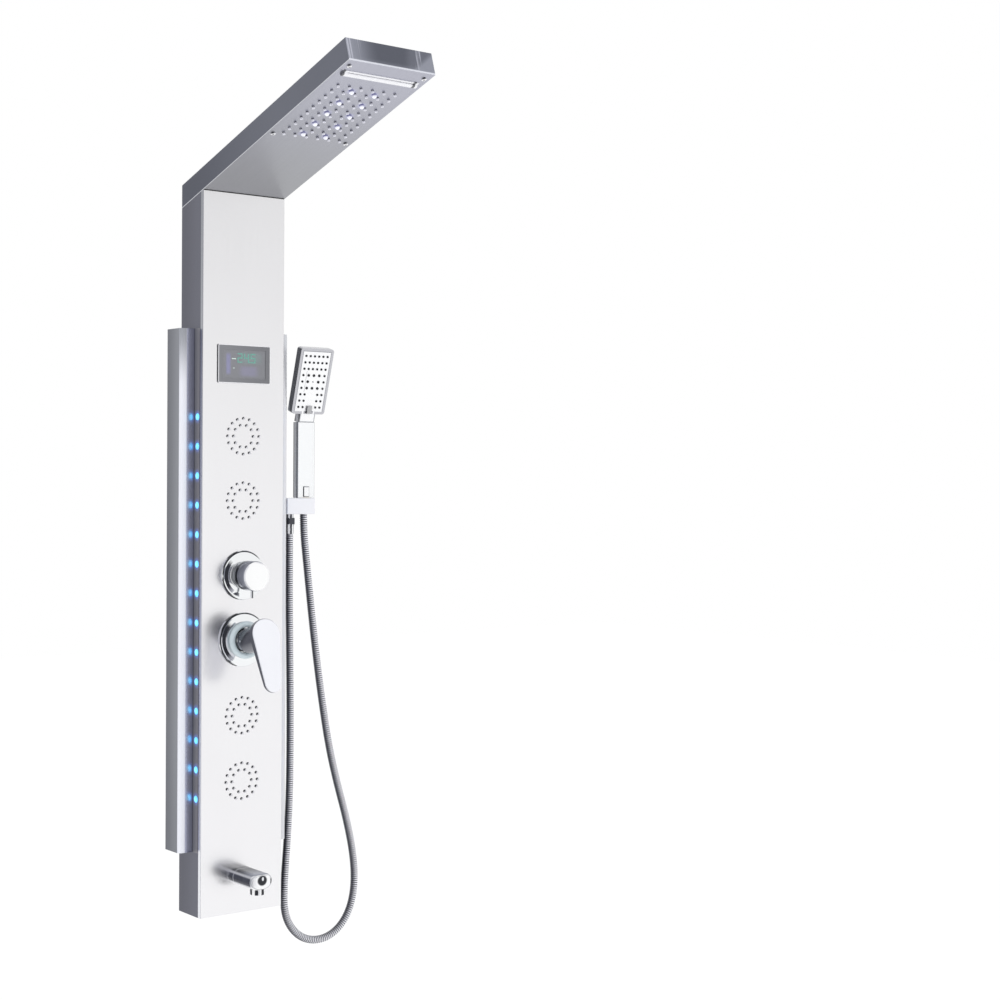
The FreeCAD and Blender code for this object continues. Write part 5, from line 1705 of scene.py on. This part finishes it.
@dataclass
class Valves:
    """Diverter, mixer, body jets, spout and the plumbing behind the panel.

    Attributes:
        jets: Number of jet groups.
        rings: Radius and number of nozzles of each ring of a group.
        tip: Radius and rise of each step of a nozzle's rounded tip.
        sides: Points round a nozzle.
    """

    jets: int = 4
    rings: tuple[tuple[float, int], ...] = ((0.0289, 16), (0.0182, 10))
    tip: tuple[tuple[float, float], ...] = (
        (0.00252, -0.0002), (0.00252, 0.0007), (0.00242, 0.0012), (0.0021, 0.0017), (0.0016, 0.0021),
        (0.0010, 0.0023), (0.00055, 0.0022), (0.00045, 0.0015),
    )
    sides: int = 16

    def jet_tips(self, shop: Workshop, node: str) -> None:
        """Add the rounded silicone tips of one jet group.

        Args:
            shop: Nodes and finishes.
            node: The group's mat.
        """
        low, high = (Vector(corner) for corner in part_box(node))
        middle = (low + high) / 2
        mesh = bmesh.new()
        for ring, count in self.rings:
            for across, up in around(count):
                x, z = middle.x + ring * across, middle.z + ring * up
                add_rings(mesh, [
                    [Vector((x + r * c, PANEL_FRONT - rise, z + r * s)) for c, s in around(self.sides)]
                    for r, rise in self.tip
                ], closed=True)
        shop.piece(f"{node}_tips", mesh, "jet_tip", Body.COLUMN)

    def dress(self, shop: Workshop) -> None:
        """Dress the valves' CAD nodes and add the jets' tips.

        Args:
            shop: Nodes and finishes.
        """
        shop.dress(
            diverter_plate="diverter_escutcheon", mixer_plate="mixer_escutcheon",
            chrome="diverter_collar diverter_pointer mixer_sleeve", turret="mixer_turret",
            knob="diverter_knob", lever="mixer_lever", bracket="lever_pin", ring="mixer_ring",
            brass="diverter_valve diverter_stem mixer_valve", pipe="water_pipes",
            moulding="turbine_housing turbine_rotor jet_chambers", spout="spout_flange spout_body",
            aerator="spout_aerator",
        )
        for i in range(self.jets):
            node = f"jet_mat_{i + 1}"
            shop.dress(dark_rubber=node)
            self.jet_tips(shop, node)


# route of the hose: right of the middle, from the wall, above the column's lower end
HOSE_ROUTE: tuple[Place, ...] = (
    (0.1115, -0.0310, 0.6100), (0.1115, -0.0310, 0.5150), (0.1132, -0.0314, 0.4050),
    (0.1144, -0.0320, 0.2900), (0.1134, -0.0328, 0.1800), (0.1088, -0.0336, 0.0980),
    (0.1026, -0.0346, 0.0320), (0.1014, -0.0356, -0.0180), (0.1126, -0.0368, -0.0475),
    (0.1341, -0.0380, -0.0688), (0.1614, -0.0390, -0.0778), (0.1901, -0.0396, -0.0742),
    (0.2152, -0.0398, -0.0576), (0.2334, -0.0394, -0.0284), (0.2414, -0.0386, 0.0120),
    (0.2382, -0.0374, 0.0620), (0.2244, -0.0360, 0.1240), (0.2064, -0.0348, 0.1840),
    (0.1906, -0.0338, 0.2460), (0.1780, -0.0330, 0.3160), (0.1664, -0.0322, 0.3920),
    (0.1554, -0.0316, 0.4760), (0.1456, -0.0312, 0.5600), (0.1390, -0.0310, 0.6160),
    (0.1390, -0.0310, 0.6520),
)


@dataclass
class ShowerHose:
    """Metal hose with close ribs, from the holder's outlet to the hand shower.

    Attributes:
        radius: Radius over the ribs.
        groove: Depth of the groove between two ribs.
        pitch: Distance from rib to rib.
        sides: Points round the hose.
        length: Its real length; not used.
        profile: Place along one rib and share of the groove's depth, for each ring.
        grooves: Rings of a rib that start a face with painted groove shade.
        still_side: Where a blend to the hand shower would start; not used.
        moving_side: Where that blend would end; not used.
        route: Control points of the centreline.
    """

    radius: float = 0.0065
    groove: float = 0.0010
    pitch: float = 0.0036
    sides: int = 18
    length: float = 1.5
    profile: tuple[Span, ...] = ((0.0, 1.0), (0.22, 0.2), (0.36, 0.0), (0.62, 0.0), (0.78, 0.2))
    grooves: tuple[int, ...] = (0, 4)
    still_side: Place = (0.1180, 0.0, -0.4000)
    moving_side: Place = (0.1322, 0.0, -0.3980)
    route: tuple[Place, ...] = HOSE_ROUTE

    def centreline(self) -> list[Vector]:
        """Draw the smooth spline that the route controls.

        Returns:
            Close points along it.
        """
        data = bpy.data.curves.new("hose_line", "CURVE")
        data.dimensions = "3D"
        data.resolution_u = 40
        spline = data.splines.new("NURBS")
        spline.points.add(len(self.route) - 1)
        for point, (x, y, height) in zip(spline.points, self.route):
            point.co = (x, y, level(height), 1.0)
        spline.order_u = 3
        spline.use_endpoint_u = True
        carrier = place_object("hose_line", data)
        line = bpy.data.meshes.new_from_object(carrier)
        points = [v.co.copy() for v in line.vertices]
        bpy.data.objects.remove(carrier)
        bpy.data.meshes.remove(line)
        bpy.data.curves.remove(data)
        return points

    def stations(self, points: list[Vector]) -> list[tuple[Vector, Vector, float]]:
        """Place one ring for each step of each rib.

        Args:
            points: The centreline.

        Returns:
            Centre, direction and radius of each ring.
        """
        reach = [0.0]
        for a, b in zip(points, points[1:]):
            reach.append(reach[-1] + (b - a).length)
        total = reach[-1]
        ribs = round(total / self.pitch)
        places = [
            (total * (i + share) / ribs, depth) for i in range(ribs) for share, depth in self.profile
        ] + [(total, 1.0)]
        rings, k = [], 0
        for at, depth in places:
            while k < len(points) - 2 and reach[k + 1] < at:
                k += 1
            way = points[k + 1] - points[k]
            share = (at - reach[k]) / max(reach[k + 1] - reach[k], 1e-9)
            rings.append((points[k] + way * share, way.normalized(), self.radius - self.groove * depth))
        return rings

    def build(self, shop: Workshop) -> None:
        """Build the hose and dress its fittings.

        Args:
            shop: Nodes and finishes.
        """
        points = self.centreline()
        mesh = bmesh.new()
        side = Vector((1.0, 0.0, 0.0))
        rings = []
        for centre, way, radius in self.stations(points):
            side = (side - way * side.dot(way)).normalized()
            other = way.cross(side)
            rings.append([centre + (side * c + other * s) * radius for c, s in around(self.sides)])
        add_rings(mesh, rings, closed=True)
        hose = shop.piece("shower_hose", mesh, "hose", None)
        # the groove faces take a much darker finish, painted shade in the grooves
        hose.data.materials.append(shop.palette["hose_groove_shade"])
        for i, face in enumerate(hose.data.polygons):
            face.material_index = int(i // self.sides % len(self.profile) in self.grooves)
        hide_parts("hose")
        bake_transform(hose)
        shop.dress(fitting="hose_nut hose_ferrule outlet_nipple")


@dataclass
class HandShower:
    """Hand shower and its holder.

    Attributes:
        line_x: X of the face's fine line from the middle.
        half: Half the line's width.
        line: Lower and upper end of the line, up the face.
        depth: How far it stands out of the face and reaches into it.
    """

    line_x: float = -0.0146
    half: float = 0.00025
    line: Span = (0.052, 0.087)
    depth: Span = (0.00012, 0.0002)

    def place(self) -> Matrix:
        """Return the head's own frame: Y into the head, Z up its face."""
        return Matrix.Translation((HAND_X, HAND_FRONT, HAND_NECK)) @ Matrix.Rotation(HAND_TILT, 4, "X")

    def dress(self, shop: Workshop) -> None:
        """Dress the hand shower's CAD nodes and add the fine line on its face.

        Args:
            shop: Nodes and finishes.
        """
        shop.dress(
            holder="holder_block", face="handset_face", button="pause_button", handset="handset_shell",
            rubber="handset_nozzle_mat", tab="mode_tab", brass="handset_plug",
        )
        mesh = bmesh.new()
        out, back = self.depth
        add_slab(mesh, (self.line_x - self.half, self.line_x + self.half), (-out, back), self.line)
        bmesh.ops.transform(mesh, matrix=self.place(), verts=mesh.verts)
        shop.piece("face_line", mesh, "tab", Body.HANDSET, smooth=False)


# ---------- studio


@dataclass
class Studio:
    """Floor, grey cards for the bright metal to reflect, lights and camera.

    Attributes:
        floor: Z of the floor.
        size: Side of the floor.
        camera: Where the camera stands.
        yaw: Its turn to the right, in degrees.
        pitch: Its lift, in degrees.
        roll: Its turn about its own axis, in degrees.
        lens: Its focal length in millimetres.
        floor_white: Share of plain white light in the floor's look.
        floor_light: Strength of that light.
        sky: Tint of the light from all round.
        sky_light: Strength of that light.
        cards: Name, grey level and corners of each card.
        lamps: Name, place, aim, side and power in watts of each lamp.
    """

    floor: float = -1.45
    size: float = 16.0
    camera: Place = (-1.4668, -2.5865, -0.3036)
    yaw: float = 38.419
    pitch: float = -0.721
    roll: float = 0.383
    lens: float = 64.30
    floor_white: float = 0.87
    floor_light: float = 1.10
    sky: Colour = (0.95, 0.97, 1.0)
    sky_light: float = 0.62
    cards: tuple[tuple[str, float, tuple[Place, ...]], ...] = (
        (
            "card_front_left", 0.50,
            ((-3.4, -2.6, -1.4), (0.1, -3.6, -1.4), (0.1, -3.6, 3.4), (-3.4, -2.6, 3.4)),
        ),
        ("card_left", 0.45, ((-3.4, 0.5, -1.4), (-3.4, -1.5, -1.4), (-3.4, -1.5, 2.6), (-3.4, 0.5, 2.6))),
        ("card_low", 0.40, ((-3.4, -1.0, -1.4), (0.3, -1.2, -1.4), (0.3, -3.4, -1.4), (-3.4, -2.6, -1.4))),
        ("card_above", 0.50, ((0.3, -1.4, 0.75), (2.4, -1.4, 0.75), (2.4, -0.3, 2.4), (0.3, -0.3, 2.4))),
    )
    lamps: tuple[tuple[str, Place, Place, float, float], ...] = (
        ("key", (-1.6, -2.6, 1.5), (0.0, -0.1, -0.3), 1.8, 26.0),
        ("fill", (2.4, -2.2, 0.6), (0.0, -0.1, -0.4), 2.0, 16.0),
    )

    def build_floor(self) -> None:
        """Add the plain pale floor."""
        g = Graph("floor_white")
        cloud = g.blend(g.grain(0.8, 2.0), (0.80, 0.80, 0.80), (0.84, 0.84, 0.84))
        matt = g.wire("ShaderNodeBsdfPrincipled", {}, {"Base Color": cloud, "Roughness": 0.9})
        white = g.wire("ShaderNodeEmission", {}, {0: (*WHITE, 1.0), 1: self.floor_light})
        mixed = g.wire("ShaderNodeMixShader", {}, {0: self.floor_white, 1: matt, 2: white})
        g.node("ShaderNodeOutputMaterial", {}, {0: mixed})
        mesh = bmesh.new()
        bmesh.ops.create_grid(mesh, x_segments=8, y_segments=8, size=self.size / 2)
        made = make_object("floor", mesh, g.owner)
        made.location = (0.0, 0.0, self.floor)

    def build_card(self, name: str, tone: float, corners: Sequence[Place]) -> None:
        """Add a grey studio card that only reflections show.

        Args:
            name: Name of the card.
            tone: Its grey level.
            corners: Its four corners.
        """
        g = Graph(name)
        glow = g.wire("ShaderNodeEmission", {}, {0: (tone, tone, tone * 1.12, 1.0), 1: 1.0})
        g.node("ShaderNodeOutputMaterial", {}, {0: glow})
        mesh = bmesh.new()
        mesh.faces.new([mesh.verts.new(c) for c in corners])
        made = make_object(name, mesh, g.owner)
        for ray in ("camera", "diffuse", "shadow", "transmission"):
            setattr(made, f"visible_{ray}", False)

    def build_world(self) -> None:
        """Light the object from all round at a plain level."""
        g = Graph("studio", bpy.data.worlds)
        bpy.context.scene.world = g.owner
        path = g.node("ShaderNodeLightPath").outputs
        rays = (Wire(g, path[f"Is {kind} Ray"]) for kind in ("Camera", "Glossy", "Transmission"))
        soft = g.wire("ShaderNodeBackground", {}, {0: (*self.sky, 1.0), 1: self.sky_light})
        white = g.wire("ShaderNodeBackground", {}, {0: (*WHITE, 1.0), 1: 1.0})
        mixed = g.wire("ShaderNodeMixShader", {}, {0: g.most(*rays), 1: soft, 2: white})
        g.node("ShaderNodeOutputWorld", {}, {0: mixed})

    def build_lamp(self, name: str, place: Place, aim: Place, size: float, power: float) -> None:
        """Add a large soft lamp.

        Args:
            name: Name of the lamp.
            place: Where it stands.
            aim: What it points at.
            size: Its side.
            power: Its power in watts.
        """
        data = bpy.data.lights.new(name, "AREA")
        data.shape = "SQUARE"
        data.size = size
        data.energy = power
        made = place_object(name, data)
        made.location = place
        made.rotation_euler = (Vector(aim) - Vector(place)).to_track_quat("-Z", "Y").to_euler()
        made.visible_glossy = False

    def build_camera(self) -> None:
        """Stand the camera where the photograph was taken from."""
        a, p, r = (math.radians(v) for v in (self.yaw, self.pitch, self.roll))
        ahead = Vector((math.sin(a) * math.cos(p), math.cos(a) * math.cos(p), math.sin(p)))
        right = Vector((math.cos(a), -math.sin(a), 0.0))
        up = right.cross(ahead)
        across = right * math.cos(r) + up * math.sin(r)
        upright = up * math.cos(r) - right * math.sin(r)
        turn = Matrix((across, upright, -ahead)).transposed().to_4x4()
        data = bpy.data.cameras.new("camera")
        data.sensor_width = 36.0
        data.lens = self.lens
        data.clip_start = 0.05
        made = place_object("camera", data)
        made.matrix_world = Matrix.Translation(self.camera) @ turn
        bpy.context.scene.camera = made

    def build(self) -> None:
        """Build the camera, the lights and the stage."""
        self.build_camera()
        self.build_world()
        self.build_floor()
        for card in self.cards:
            self.build_card(*card)
        for lamp in self.lamps:
            self.build_lamp(*lamp)
        bpy.context.scene.view_settings.view_transform = "Standard"


def main() -> None:
    """Load the frame, dress it, add the pieces and set the studio."""
    logging.basicConfig(level=logging.INFO, format="%(name)s: %(message)s")
    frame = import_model()
    studio = Studio()
    studio.build()
    shop = Workshop(frame["nodes"], Palette())
    ShowerHose().build(shop)
    for part in (ColumnShell(), RainArm(), Display(), Valves(), HandShower()):
        part.dress(shop)
        log.info("dressed %s", type(part).__name__)


if __name__ == "__main__":
    main()
